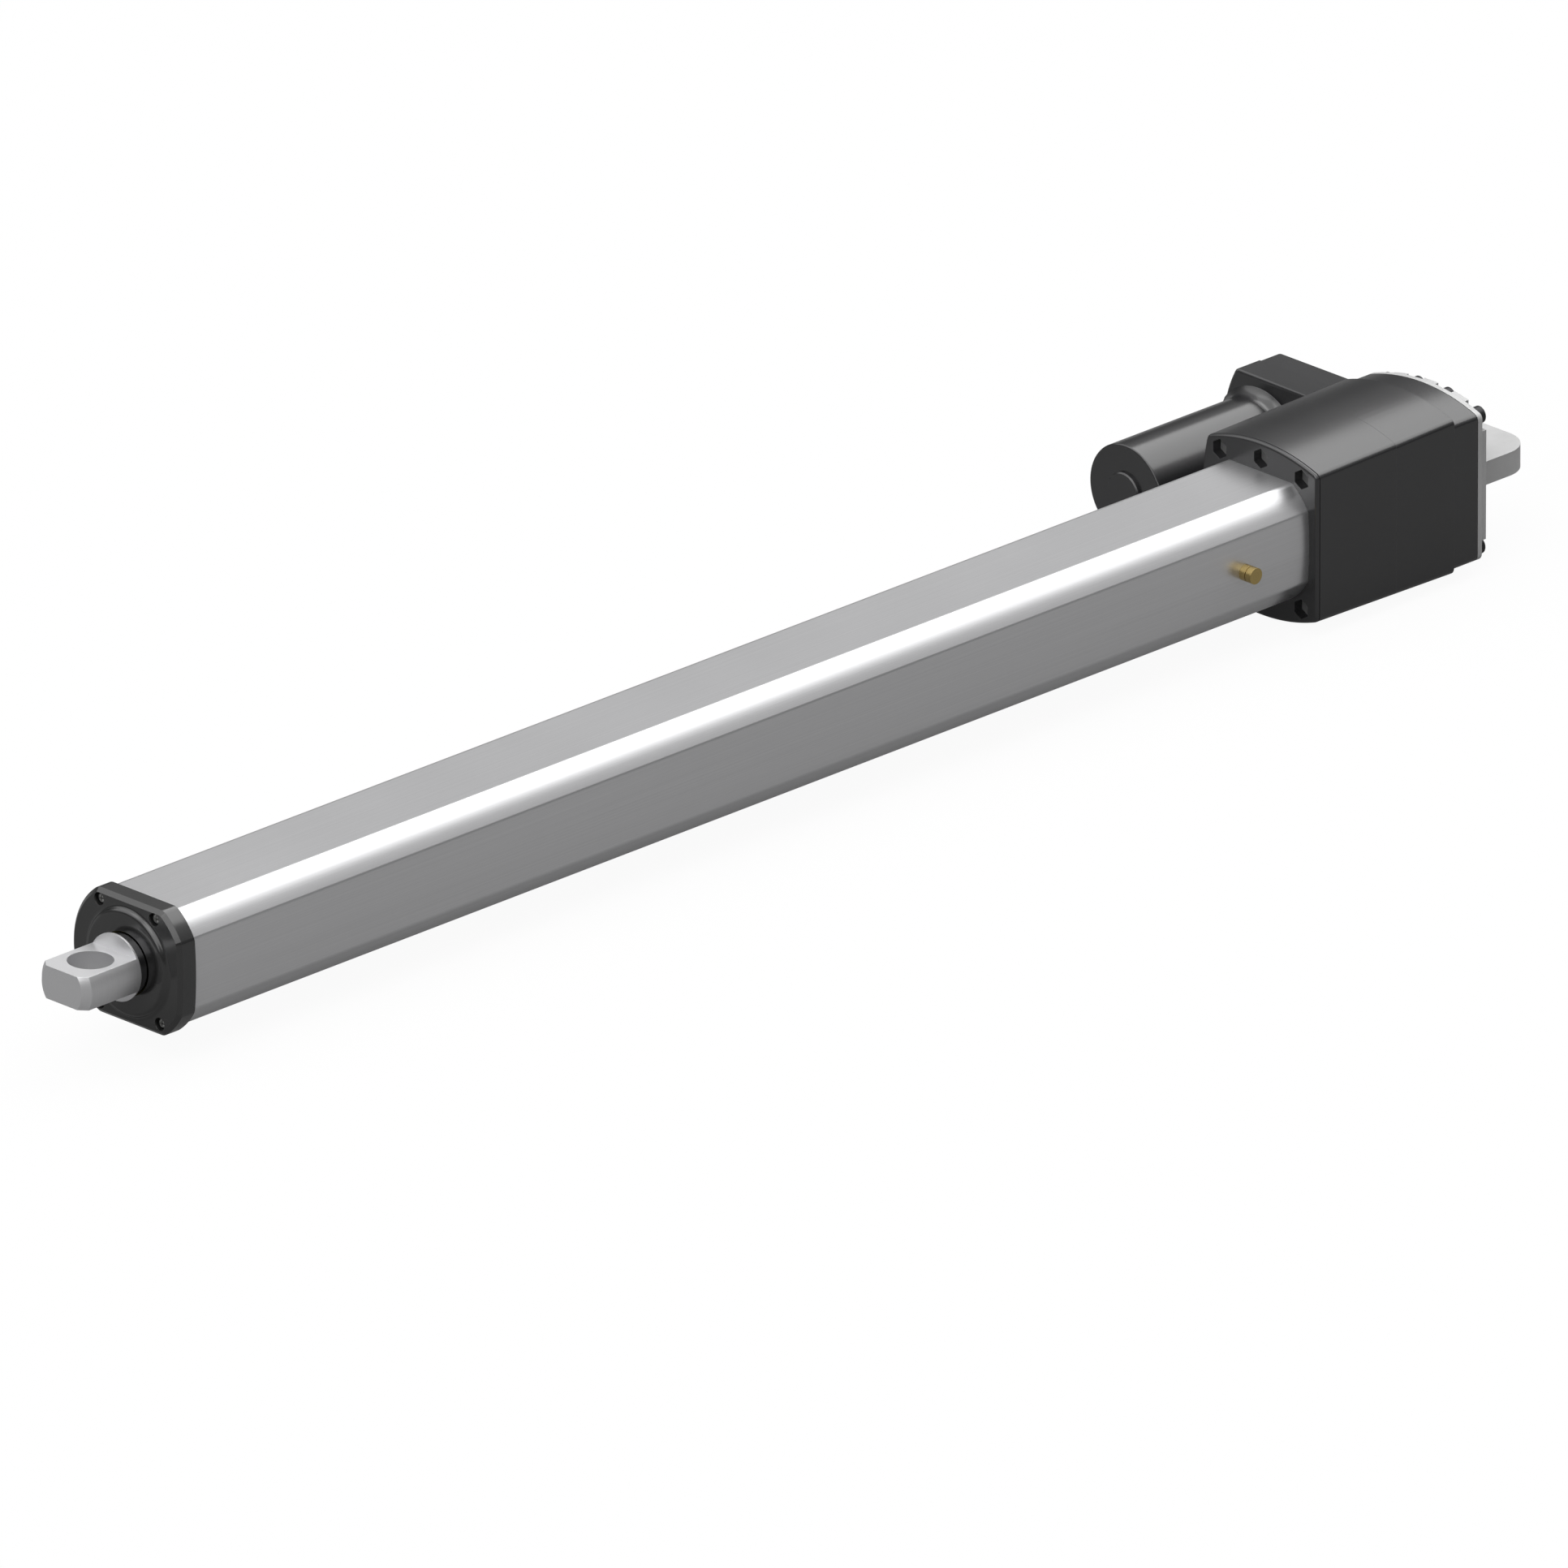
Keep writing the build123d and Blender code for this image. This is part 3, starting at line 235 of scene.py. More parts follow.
class Finish:
    """One material, or the world, under construction."""

    def __init__(self, name, world=False):
        self.material = bpy.data.worlds.new(name) if world else bpy.data.materials.new(name)
        self.material.use_nodes = True
        self.tree = self.material.node_tree
        self.tree.nodes.clear()
        self.output = self.tree.nodes.new("ShaderNodeOutputWorld" if world else "ShaderNodeOutputMaterial")

    def node(self, kind, choices=None, sockets=None, out=0):
        """Add a node: its choices are set first, then the values or wires of its sockets."""
        made = self.tree.nodes.new(kind)
        for name, value in (choices or {}).items():
            if name == "stops":
                ramp = made.color_ramp.elements
                while len(ramp) < len(value):
                    ramp.new(0.5)
                for element, (place, level) in zip(ramp, value):
                    element.position = place
                    element.color = (level, level, level, 1.0)
            else:
                setattr(made, name, value)
        for name, value in (sockets or {}).items():
            if isinstance(value, Wire):
                self.tree.links.new(value.socket, made.inputs[name])
            else:
                made.inputs[name].default_value = value
        return Wire(self, made.outputs[out])

    def place(self):
        """The piece's own coordinates, which are the frame's at rest, in metres."""
        return self.node("ShaderNodeTexCoord", out="Object")

    def around(self, axis, about):
        """The place along an axis and the two places across it, from a line at about."""
        along = self.node("ShaderNodeSeparateXYZ", None, {0: self.place()}, out=axis)
        outputs = along.socket.node.outputs
        first, second = [Wire(self, output) for output in outputs if output.name != axis]
        return along, first - about[0], second - about[1]

    def stretched(self, scale):
        """The piece's coordinates, stretched along each axis by the three numbers."""
        return self.node("ShaderNodeVectorMath", {"operation": "MULTIPLY"}, {0: self.place(), 1: scale})

    def noise(self, scale, detail=4.0, rough=0.55, at=None):
        """Even noise from 0 to 1 with so many grains to the metre."""
        return self.node("ShaderNodeTexNoise", {"noise_dimensions": "3D"},
                         {"Vector": at or self.place(), "Scale": scale, "Detail": detail, "Roughness": rough})

    def ramp(self, wire, stops):
        """Read a value through a grey ramp."""
        return self.node("ShaderNodeValToRGB", {"stops": stops}, {0: wire})

    def mix(self, factor, first, second):
        """Mix two colours."""
        return self.node("ShaderNodeMix", {"data_type": "RGBA"}, {0: factor, 6: first, 7: second}, out=2)

    def shade(self, base, varied, factor):
        """A colour that goes from base to a lighter or darker tone of itself."""
        tone = tuple(min(1.0, c * varied) for c in base)
        return self.mix(factor, (*base, 1.0), (*tone, 1.0))

    def bump(self, height, strength, distance, under=None):
        """Turn a height into a normal."""
        sockets = {"Height": height, "Strength": strength, "Distance": distance}
        if under:
            sockets["Normal"] = under
        return self.node("ShaderNodeBump", None, sockets)

    def rounded(self, width):
        """The normal as if every sharp edge had a small round."""
        return self.node("ShaderNodeBevel", {"samples": 6}, {"Radius": width})

    def worn_and_highlit_edges(self, width):
        """A mask that is 1 on convex edges, from how the rounded normal leaves the true one; it lays on edge wear
        and a painted highlight.
        """
        rounded = self.rounded(width)
        true = self.node("ShaderNodeNewGeometry", out="Normal")
        dot = self.node("ShaderNodeVectorMath", {"operation": "DOT_PRODUCT"}, {0: rounded, 1: true}, out="Value")
        return self.ramp(1.0 - dot, [(0.01, 0.0), (0.12, 1.0)])

    def close(self, **sockets):
        """Finish with a Principled shader; spaces in socket names are underscores here."""
        named = {name.replace("_", " "): value for name, value in sockets.items()}
        return self.end(self.node("ShaderNodeBsdfPrincipled", None, named))

    def end(self, shader):
        """Connect the last shader to the output."""
        self.tree.links.new(shader.socket, self.output.inputs["Surface"])
        return self.material


def rgba(value):
    """A stored colour with its alpha."""
    return (*value, 1.0)


def coated_metal(name, base, roughness, gloss, grain=900.0, relief=0.03):
    """Sprayed coat on metal: orange peel, faint dust in soft patches and slightly lighter edges."""
    base = tuple(base)
    finish = Finish(name)
    peel = finish.noise(grain, 3.0)
    cloud = finish.noise(22.0, 5.0, 0.6)
    edges = finish.worn_and_highlit_edges(0.6 * MM)
    soft = finish.ramp(cloud, [(0.35, 0.0), (0.70, 1.0)])
    tone = finish.shade(base, 1.25, soft)
    # Lighter convex edges: partly edge wear, partly a painted highlight along the edges.
    wear_and_highlight = finish.mix(edges * 0.35, tone, (*(min(1.0, c * 3.2) for c in base), 1.0))
    rough = roughness - 0.04 + 0.06 * cloud + 0.04 * peel
    normal = finish.bump(peel, relief, 0.05 * MM, under=finish.rounded(0.25 * MM))
    return finish.close(Base_Color=wear_and_highlight, Roughness=rough, Normal=normal, Specular_IOR_Level=gloss)


def anodised_extrusion(name, base, roughness):
    """Clear anodised aluminium with fine die lines along the extrusion."""
    base = tuple(base)
    finish = Finish(name)
    lines = finish.noise(1.0, 3.0, 0.6, at=finish.stretched((4.0, 2600.0, 2600.0)))
    fine = finish.noise(1.0, 2.0, 0.5, at=finish.stretched((60.0, 5200.0, 5200.0)))
    cloud = finish.noise(9.0, 4.0, 0.55)
    tone = finish.shade(base, 0.90, finish.ramp(lines, [(0.30, 0.0), (0.75, 1.0)]))
    gloss = roughness - 0.06 + 0.08 * lines + 0.06 * cloud
    normal = finish.bump(lines * 0.7 + fine * 0.3, 0.12, 0.01 * MM)
    return finish.close(Base_Color=tone, Metallic=0.82, Roughness=gloss, Normal=normal)


def blasted_casting(name, base):
    """Bead-blasted cast aluminium: pale, matt and faintly pitted."""
    base = tuple(base)
    finish = Finish(name)
    pits = finish.noise(2400.0, 4.0, 0.6)
    cloud = finish.noise(35.0, 5.0, 0.6)
    edges = finish.worn_and_highlit_edges(0.5 * MM)
    tone = finish.shade(base, 0.84, finish.ramp(cloud, [(0.32, 0.0), (0.72, 1.0)]))
    # Lighter convex edges: partly edge wear, partly a painted highlight along the edges.
    wear_and_highlight = finish.mix(edges * 0.5, tone, (*(min(1.0, c * 1.3) for c in base), 1.0))
    gloss = 0.50 + 0.14 * pits
    normal = finish.bump(pits, 0.25, 0.03 * MM, under=finish.rounded(0.4 * MM))
    return finish.close(Base_Color=wear_and_highlight, Metallic=0.35, Roughness=gloss, Normal=normal)


def turned_metal(name, base, roughness, about=(0.0, 0.0), axis="X", rings=1400.0, relief=0.10,
                 metallic=1.0, darkest=0.82):
    """Metal turned about a line along an axis: fine rings on its faces and hoops on its barrel."""
    base = tuple(base)
    finish = Finish(name)
    along, first, second = finish.around(axis, about)
    radius = (first * first + second * second) ** 0.5
    spot = finish.node("ShaderNodeCombineXYZ", None, {"X": along * rings, "Y": radius * rings, "Z": 0.0})
    hoops = finish.noise(1.0, 3.0, 0.65, at=spot)
    cloud = finish.noise(60.0, 4.0, 0.6)
    tone = finish.shade(base, darkest, finish.ramp(hoops, [(0.30, 0.0), (0.75, 1.0)]))
    gloss = roughness - 0.05 + 0.09 * hoops + 0.06 * cloud
    normal = finish.bump(hoops, relief, 0.02 * MM, under=finish.rounded(0.2 * MM))
    return finish.close(Base_Color=tone, Metallic=metallic, Roughness=gloss, Normal=normal)


def dark_oxide(name, base):
    """Black oxide on steel screws: satin, with bright edges that are partly rubbed and partly a painted highlight.
    """
    base = tuple(base)
    finish = Finish(name)
    grain = finish.noise(1800.0, 3.0)
    cloud = finish.noise(140.0, 4.0)
    edges = finish.worn_and_highlit_edges(0.3 * MM)
    tone = finish.shade(base, 1.5, cloud)
    # Bright convex edges: partly rubbed steel, partly a painted highlight along the edges.
    wear_and_highlight = finish.mix(edges * 0.4, tone, (0.16, 0.16, 0.17, 1.0))
    gloss = 0.34 + 0.14 * grain
    normal = finish.bump(grain, 0.10, 0.02 * MM, under=finish.rounded(0.25 * MM))
    return finish.close(Base_Color=wear_and_highlight, Metallic=0.55, Roughness=gloss, Normal=normal)


def moulded(name, base, roughness, grain=1500.0, relief=0.10, metallic=0.0):
    """Moulded or pressed material with a fine even grain."""
    base = tuple(base)
    finish = Finish(name)
    grains = finish.noise(grain, 3.0, 0.6)
    cloud = finish.noise(48.0, 4.0, 0.6)
    tone = finish.shade(base, 0.80, finish.ramp(cloud, [(0.30, 0.0), (0.75, 1.0)]))
    gloss = roughness - 0.06 + 0.12 * grains
    normal = finish.bump(grains, relief, 0.03 * MM)
    return finish.close(Base_Color=tone, Metallic=metallic, Roughness=gloss, Normal=normal)


def wound_copper(name, base, about):
    """Lacquered wire wound into the end turns of the armature."""
    base = tuple(base)
    finish = Finish(name)
    along, y, z = finish.around("X", about)
    turn = finish.node("ShaderNodeMath", {"operation": "ARCTAN2"}, {0: z, 1: y})
    wave = finish.node("ShaderNodeMath", {"operation": "SINE"}, {0: turn * 150.0 + along * 900.0})
    strands = wave * 0.5 + 0.5
    # Darker between the turns of wire: painted shade in the grooves.
    tone = finish.shade(base, 0.45, 1.0 - strands)
    normal = finish.bump(strands, 0.5, 0.2 * MM)
    return finish.close(Base_Color=tone, Metallic=0.8, Roughness=0.30 + 0.15 * strands, Normal=normal)


def printed_board(name, base):
    """Lacquered circuit board with faint copper tracks under the lacquer."""
    base = tuple(base)
    finish = Finish(name)
    cells = finish.node("ShaderNodeTexVoronoi", {"feature": "F1", "distance": "CHEBYCHEV"},
                        {"Vector": finish.place(), "Scale": 900.0}, out="Distance")
    tracks = finish.ramp(cells, [(0.30, 0.0), (0.34, 1.0)])
    tone = finish.shade(base, 1.8, tracks)
    normal = finish.bump(tracks, 0.2, 0.03 * MM)
    return finish.close(Base_Color=tone, Roughness=0.22 + 0.10 * tracks, Normal=normal)


def dress(nodes, material):
    """Give CAD nodes a material."""
    for name in nodes:
        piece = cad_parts[name]
        piece.data.materials.clear()
        piece.data.materials.append(material)


def piece_from(mesh, name, body, material, replaced=()):
    """Put a finished bmesh into the scene as a piece that rides on a body."""
    data = bpy.data.meshes.new(name)
    bmesh.ops.recalc_face_normals(mesh, faces=mesh.faces)
    mesh.to_mesh(data)
    mesh.free()
    piece = bpy.data.objects.new(name, data)
    bpy.context.scene.collection.objects.link(piece)
    data.materials.append(material)
    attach(piece, body)
    if replaced:
        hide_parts(*replaced)
    return piece


def smooth_by_angle(piece, degrees=35):
    """Smooth shading with sharp edges kept and flat faces flat."""
    piece.data.shade_smooth()
    piece.data.set_sharp_from_angle(angle=radians(degrees))
    weighted = piece.modifiers.new("flat_faces", "WEIGHTED_NORMAL")
    weighted.keep_sharp = True


def lathe(mesh, profile, steps, origin, along=(1, 0, 0), ends="both", ribs=0, rib_depth=0.0):
    """Turn (place along, radius, ribbed) points about a line; ends is both, first or hollow, a closed ring."""
    along = Vector(along)
    across = Vector((0, 0, 1))
    other = along.cross(across)
    rings = []
    for reach, radius, *ribbed in profile:
        ring = []
        for step in range(steps):
            turn = tau * step / steps
            low = rib_depth if ribbed and step * ribs * 2 // steps % 2 else 0.0
            spoke = across * cos(turn) + other * sin(turn)
            ring.append(mesh.verts.new(Vector(origin) + along * reach + spoke * (radius - low)))
        rings.append(ring)
    pairs = list(zip(rings, rings[1:]))
    if ends == "hollow":
        pairs.append((rings[-1], rings[0]))
    for low, high in pairs:
        for step in range(steps):
            after = (step + 1) % steps
            mesh.faces.new((low[step], low[after], high[after], high[step]))
    if ends in ("both", "first"):
        mesh.faces.new(list(reversed(rings[0])))
    if ends == "both":
        mesh.faces.new(rings[-1])
    return rings


class ACTUATOR_OT_stage(Operator):
    """Build the pale floor, the soft lamps and the camera."""

    bl_idname = "actuator.stage"
    bl_label = "Stage"

    def far_lamp(self, name, level, spread, toward):
        """A large round soft lamp far away in one direction, the same all along the object."""
        data = bpy.data.lights.new(name, "SUN")
        data.energy, data.angle = level, spread
        lamp = bpy.data.objects.new(name, data)
        bpy.context.scene.collection.objects.link(lamp)
        lamp.location = toward
        lamp.rotation_mode = "QUATERNION"
        lamp.rotation_quaternion = (-Vector(toward)).to_track_quat("-Z", "Y")

    def execute(self, context):
        studio = settings()[2]
        scene = context.scene
        scene.view_settings.view_transform = "Standard"
        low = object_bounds()[0]
        mesh = bmesh.new()
        corners = [(x * FLOOR_REACH, y * FLOOR_REACH, low.z) for x, y in ((-1, -1), (1, -1), (1, 1), (-1, 1))]
        mesh.faces.new([mesh.verts.new(corner) for corner in corners])
        data = bpy.data.meshes.new("studio_floor")
        mesh.to_mesh(data)
        mesh.free()
        floor = bpy.data.objects.new("studio_floor", data)
        scene.collection.objects.link(floor)
        floor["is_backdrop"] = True
        data.materials.append(self.floor_finish(studio))
        scene.world = self.surroundings(studio)
        for lamp, toward in LAMP_PLACES.items():
            level, spread = getattr(studio, f"{lamp}_level"), getattr(studio, f"{lamp}_spread")
            self.far_lamp(f"lamp_{lamp}", level, spread, toward)
        back = Vector((sin(studio.azimuth) * cos(studio.elevation),
                       -cos(studio.azimuth) * cos(studio.elevation), sin(studio.elevation)))
        camera_data = bpy.data.cameras.new("camera")
        camera_data.lens = studio.lens
        distance = studio.frame_width * studio.lens / camera_data.sensor_width
        camera_data.clip_start, camera_data.clip_end = distance * 0.1, distance * 4
        camera = bpy.data.objects.new("camera", camera_data)
        scene.collection.objects.link(camera)
        camera.location = Vector(studio.aim) + back * distance
        camera.rotation_mode = "QUATERNION"
        camera.rotation_quaternion = (-back).to_track_quat("-Z", "Y")
        scene.camera = camera
        return {"FINISHED"}

    def floor_finish(self, studio):
        """Pale floor that the camera sees as white with the object's soft shadow."""
        finish = Finish("pale_floor")
        camera_ray = finish.node("ShaderNodeLightPath", out="Is Camera Ray")
        glossy_ray = finish.node("ShaderNodeLightPath", out="Is Glossy Ray")
        cloud = finish.noise(3.0, 2.0)
        seen = finish.shade(tuple(studio.floor_colour), 0.98, cloud)
        tone = finish.mix(camera_ray, rgba(studio.floor_bounce), seen)
        plain = finish.node("ShaderNodeBsdfDiffuse", None, {"Color": tone, "Roughness": 0.9})
        white = finish.node("ShaderNodeEmission", None, {"Color": (1.0, 1.0, 1.0, 1.0), "Strength": 1.0})
        lit = camera_ray * (1.0 - studio.floor_shadow) + glossy_ray * studio.floor_shine
        mixed = finish.node("ShaderNodeMixShader", None, {0: lit, 1: plain, 2: white})
        return finish.end(mixed)

    def surroundings(self, studio):
        """White for the camera, a rise from dark to pale for glossy surfaces, and a low level as a light."""
        finish = Finish("surroundings", world=True)
        camera_ray = finish.node("ShaderNodeLightPath", out="Is Camera Ray")
        glossy_ray = finish.node("ShaderNodeLightPath", out="Is Glossy Ray")
        direction = finish.node("ShaderNodeTexCoord", out="Generated")
        height = finish.node("ShaderNodeSeparateXYZ", None, {0: direction}, out="Z")
        rise = finish.ramp(height, [(0.25, 0.0), (0.70, 1.0)])
        shine = studio.horizon_shine + rise * (studio.sky_shine - studio.horizon_shine)
        plain = studio.sky + camera_ray * (1.0 - studio.sky)
        level = plain + glossy_ray * (shine - studio.sky)
        white = {"Color": (1.0, 1.0, 1.0, 1.0), "Strength": level}
        return finish.end(finish.node("ShaderNodeBackground", None, white))


class ACTUATOR_OT_castings(Operator):
    """Coat the gearbox castings and the motor cover."""

    bl_idname = "actuator.castings"
    bl_label = "Castings and motor cover"

    def main_housing(self, detail, coat):
        """The main housing with a plain rim at the flange housing and a rounded edge round its wing.

        The rim is made point by point, because Blender's edge extrusion orders its points differently each run.
        """
        seam_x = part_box("flange_housing")[0].x
        wing_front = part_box("motor_cover")[0].x
        motor_y = sum(corner.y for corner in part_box("motor_cover")) / 2
        mesh = bmesh.new()
        mesh.from_mesh(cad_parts["main_housing"].data)
        bmesh.ops.remove_doubles(mesh, verts=mesh.verts, dist=WELD)
        everything = mesh.verts[:] + mesh.edges[:] + mesh.faces[:]
        cut_x = seam_x - detail.rim_depth
        bmesh.ops.bisect_plane(mesh, geom=everything, dist=0.001 * MM, plane_co=(cut_x, 0, 0),
                               plane_no=(1, 0, 0), clear_outer=True)
        rim = [edge for edge in mesh.edges if edge.is_boundary]
        crown_cut = max(vert.co.z for edge in rim for vert in edge.verts)
        crown_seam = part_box("flange_housing")[1].z
        ahead = {}
        for vert in [vert for edge in rim for vert in edge.verts]:
            if vert not in ahead:
                on_crown = abs(vert.co.z) > CROWN_SHARE * crown_seam
                rise = crown_seam / crown_cut if on_crown else 1.0
                ahead[vert] = mesh.verts.new((seam_x, vert.co.y, vert.co.z * rise))
        front = []
        for edge in rim:
            first, second = edge.verts
            mesh.faces.new((first, second, ahead[second], ahead[first]))
            front.append(mesh.edges.get((ahead[first], ahead[second])))
        bmesh.ops.triangle_fill(mesh, edges=front, use_beauty=True, use_dissolve=False)
        bmesh.ops.recalc_face_normals(mesh, faces=mesh.faces)
        bmesh.ops.dissolve_limit(mesh, angle_limit=radians(0.2), verts=mesh.verts, edges=mesh.edges)
        edges = [edge for edge in mesh.edges if self.on_wing_edge(edge, wing_front, motor_y)]
        bmesh.ops.bevel(mesh, geom=edges, offset=detail.wing_round, segments=5, profile=0.5, affect="EDGES")
        housing = piece_from(mesh, "main_housing_coated", "housing", coat, ["main_housing"])
        smooth_by_angle(housing)

    def on_wing_edge(self, edge, wing_front, motor_y):
        """Whether an edge lies round the wing's front face, outside the motor cover."""
        if len(edge.link_faces) != 2:
            return False
        if any(abs(vert.co.x - wing_front) > TOUCH for vert in edge.verts):
            return False
        ahead = sorted(face.normal.x for face in edge.link_faces)
        middle = (edge.verts[0].co + edge.verts[1].co) / 2
        outside = Vector((middle.y - motor_y, middle.z)).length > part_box("motor_cover")[1].z
        return ahead[1] > 0.99 and abs(ahead[0]) < 0.1 and outside

    def execute(self, context):
        finishes, detail, _ = settings()
        coat = coated_metal("casting_coat", finishes.casting_black, finishes.casting_roughness,
                            finishes.coat_gloss)
        dress(["gear_cover", "flange_housing"], coat)
        self.main_housing(detail, coat)
        cover = coated_metal("cover_coat", finishes.casting_black, finishes.cover_roughness,
                             finishes.coat_gloss, 1200.0)
        dress(["motor_cover", "cover_plug"], cover)
        # The plugs' pale grey is painted light on the shaded pocket floors.
        dress(["flange_plugs"], moulded("plug_plastic", finishes.pocket_plug_painted_light, 0.42))
        return {"FINISHED"}


class ACTUATOR_OT_rear_plate(Operator):
    """Finish the rear plate, its gasket and its screws."""

    bl_idname = "actuator.rear_plate"
    bl_label = "Rear plate"

    def execute(self, context):
        finishes, detail, _ = settings()
        dress(["rear_plate"], blasted_casting("blasted_plate", finishes.plate_grey))
        dress(["rear_screws", "flange_screws"], dark_oxide("oxide_screws", finishes.oxide_black))
        dress(["rear_gasket", "cap_seal", "motor_seal", "gland_seal"],
              moulded("black_rubber", finishes.rubber_black, 0.62))
        return {"FINISHED"}


class ACTUATOR_OT_tube(Operator):
    """Finish the anodised outer tube and its long screws."""

    bl_idname = "actuator.tube"
    bl_label = "Outer tube"

    def execute(self, context):
        finishes = settings()[0]
        dress(["barrel"], anodised_extrusion("anodised_tube", finishes.tube_silver, finishes.tube_roughness))
        dress(["barrel_screws"], turned_metal("zinc_screws", finishes.zinc, 0.34))
        return {"FINISHED"}


class ACTUATOR_OT_front_cap(Operator):
    """Finish the front cap and make its four screws with cross recesses."""

    bl_idname = "actuator.front_cap"
    bl_label = "Front cap"

    def screw_spots(self):
        """The y and z of the middle of each cap screw, from the tops of the solids' heads."""
        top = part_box("front_cap_screws")[1].x
        heads = {}
        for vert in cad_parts["front_cap_screws"].data.vertices:
            if top - vert.co.x < TOUCH:
                heads.setdefault((vert.co.y > 0, vert.co.z > 0), []).append(vert.co)
        spots = []
        for places in heads.values():
            ys, zs = [place.y for place in places], [place.z for place in places]
            spots.append(((min(ys) + max(ys)) / 2, (min(zs) + max(zs)) / 2))
        return spots

    def recessed_screw(self, mesh, spot, start, top, detail):
        """One pan head screw from start to top along X, with a tapered cross recess in its head."""
        reach = top - start
        radius, height, shank = detail.head_radius, detail.head_height, detail.shank_radius
        seat = reach - height
        profile = [(0, 0.6 * shank), (0.6 * shank, shank), (seat, shank), (seat, radius),
                   (seat + 0.50 * height, radius), (seat + 0.80 * height, 0.94 * radius),
                   (seat + 0.95 * height, 0.82 * radius), (reach, 0.66 * radius)]
        origin = (start, *spot)
        rim = lathe(mesh, profile, SCREW_STEPS, origin, ends="first")[-1]
        arm, half = detail.recess_length / 2, detail.recess_width / 2
        quarter = [(half, half), (arm, half), (arm, -half)]
        cross = []
        for turn in range(4):
            spin = Matrix.Rotation(-turn * pi / 2, 2)
            cross += [spin @ Vector(point) for point in quarter]
        lip, floor = [], []
        for point in cross:
            lip.append(mesh.verts.new((top, spot[0] + point.x, spot[1] + point.y)))
            deep = point * RECESS_TAPER
            floor.append(mesh.verts.new((top - detail.recess_depth, spot[0] + deep.x, spot[1] + deep.y)))
        count = len(lip)
        for step in range(count):
            after = (step + 1) % count
            mesh.faces.new((lip[step], lip[after], floor[after], floor[step]))
        mesh.faces.new(floor)
        edges = [mesh.edges.get((ring[step], ring[(step + 1) % len(ring)])) for ring in (rim, lip)
                 for step in range(len(ring))]
        bmesh.ops.triangle_fill(mesh, edges=edges, use_beauty=True, use_dissolve=False)

    def execute(self, context):
        finishes, detail, _ = settings()
        dress(["front_cap"], coated_metal("cap_coat", finishes.cap_black, finishes.cap_roughness,
                                          finishes.coat_gloss, 1100.0))
        mesh = bmesh.new()
        low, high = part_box("front_cap_screws")
        for spot in self.screw_spots():
            self.recessed_screw(mesh, spot, low.x, high.x, detail)
        zinc = moulded("cap_screw_zinc", finishes.zinc, 0.34, metallic=0.9)
        screws = piece_from(mesh, "front_cap_screws_recessed", "housing", zinc, ["front_cap_screws"])
        smooth_by_angle(screws)
        dress(["rod_wiper"], moulded("wiper_olive", finishes.wiper_olive, 0.5))
        dress(["rod_guide", "guide_ring", "screw_tip_bush"],
              moulded("bearing_plastic", finishes.bearing_white, 0.45))
        return {"FINISHED"}


class ACTUATOR_OT_rod(Operator):
    """Finish the rod, the rod end and the nut behind them."""

    bl_idname = "actuator.rod"
    bl_label = "Rod and rod end"

    def execute(self, context):
        finishes = settings()[0]
        dress(["rod_tube"], turned_metal("polished_rod", finishes.rod_steel, 0.16, relief=0.04))
        dress(["rod_end"], turned_metal("turned_rod_end", finishes.rod_end_steel, 0.38, relief=0.015,
                                        metallic=0.8, darkest=0.95))
        dress(["drive_nut"], turned_metal("bronze_nut", finishes.bronze, 0.36))
        dress(["guide_retainer"], turned_metal("plain_steel", finishes.rod_end_steel, 0.36))
        return {"FINISHED"}


class ACTUATOR_OT_nipple(Operator):
    """Finish the brass grease nipple."""

    bl_idname = "actuator.nipple"
    bl_label = "Grease nipple"

    def execute(self, context):
        finishes = settings()[0]
        low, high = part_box("grease_nipple")
        middle = ((low.x + high.x) / 2, (low.z + high.z) / 2)
        dress(["grease_nipple"], turned_metal("turned_brass", finishes.brass, 0.30, about=middle, axis="Y"))
        return {"FINISHED"}


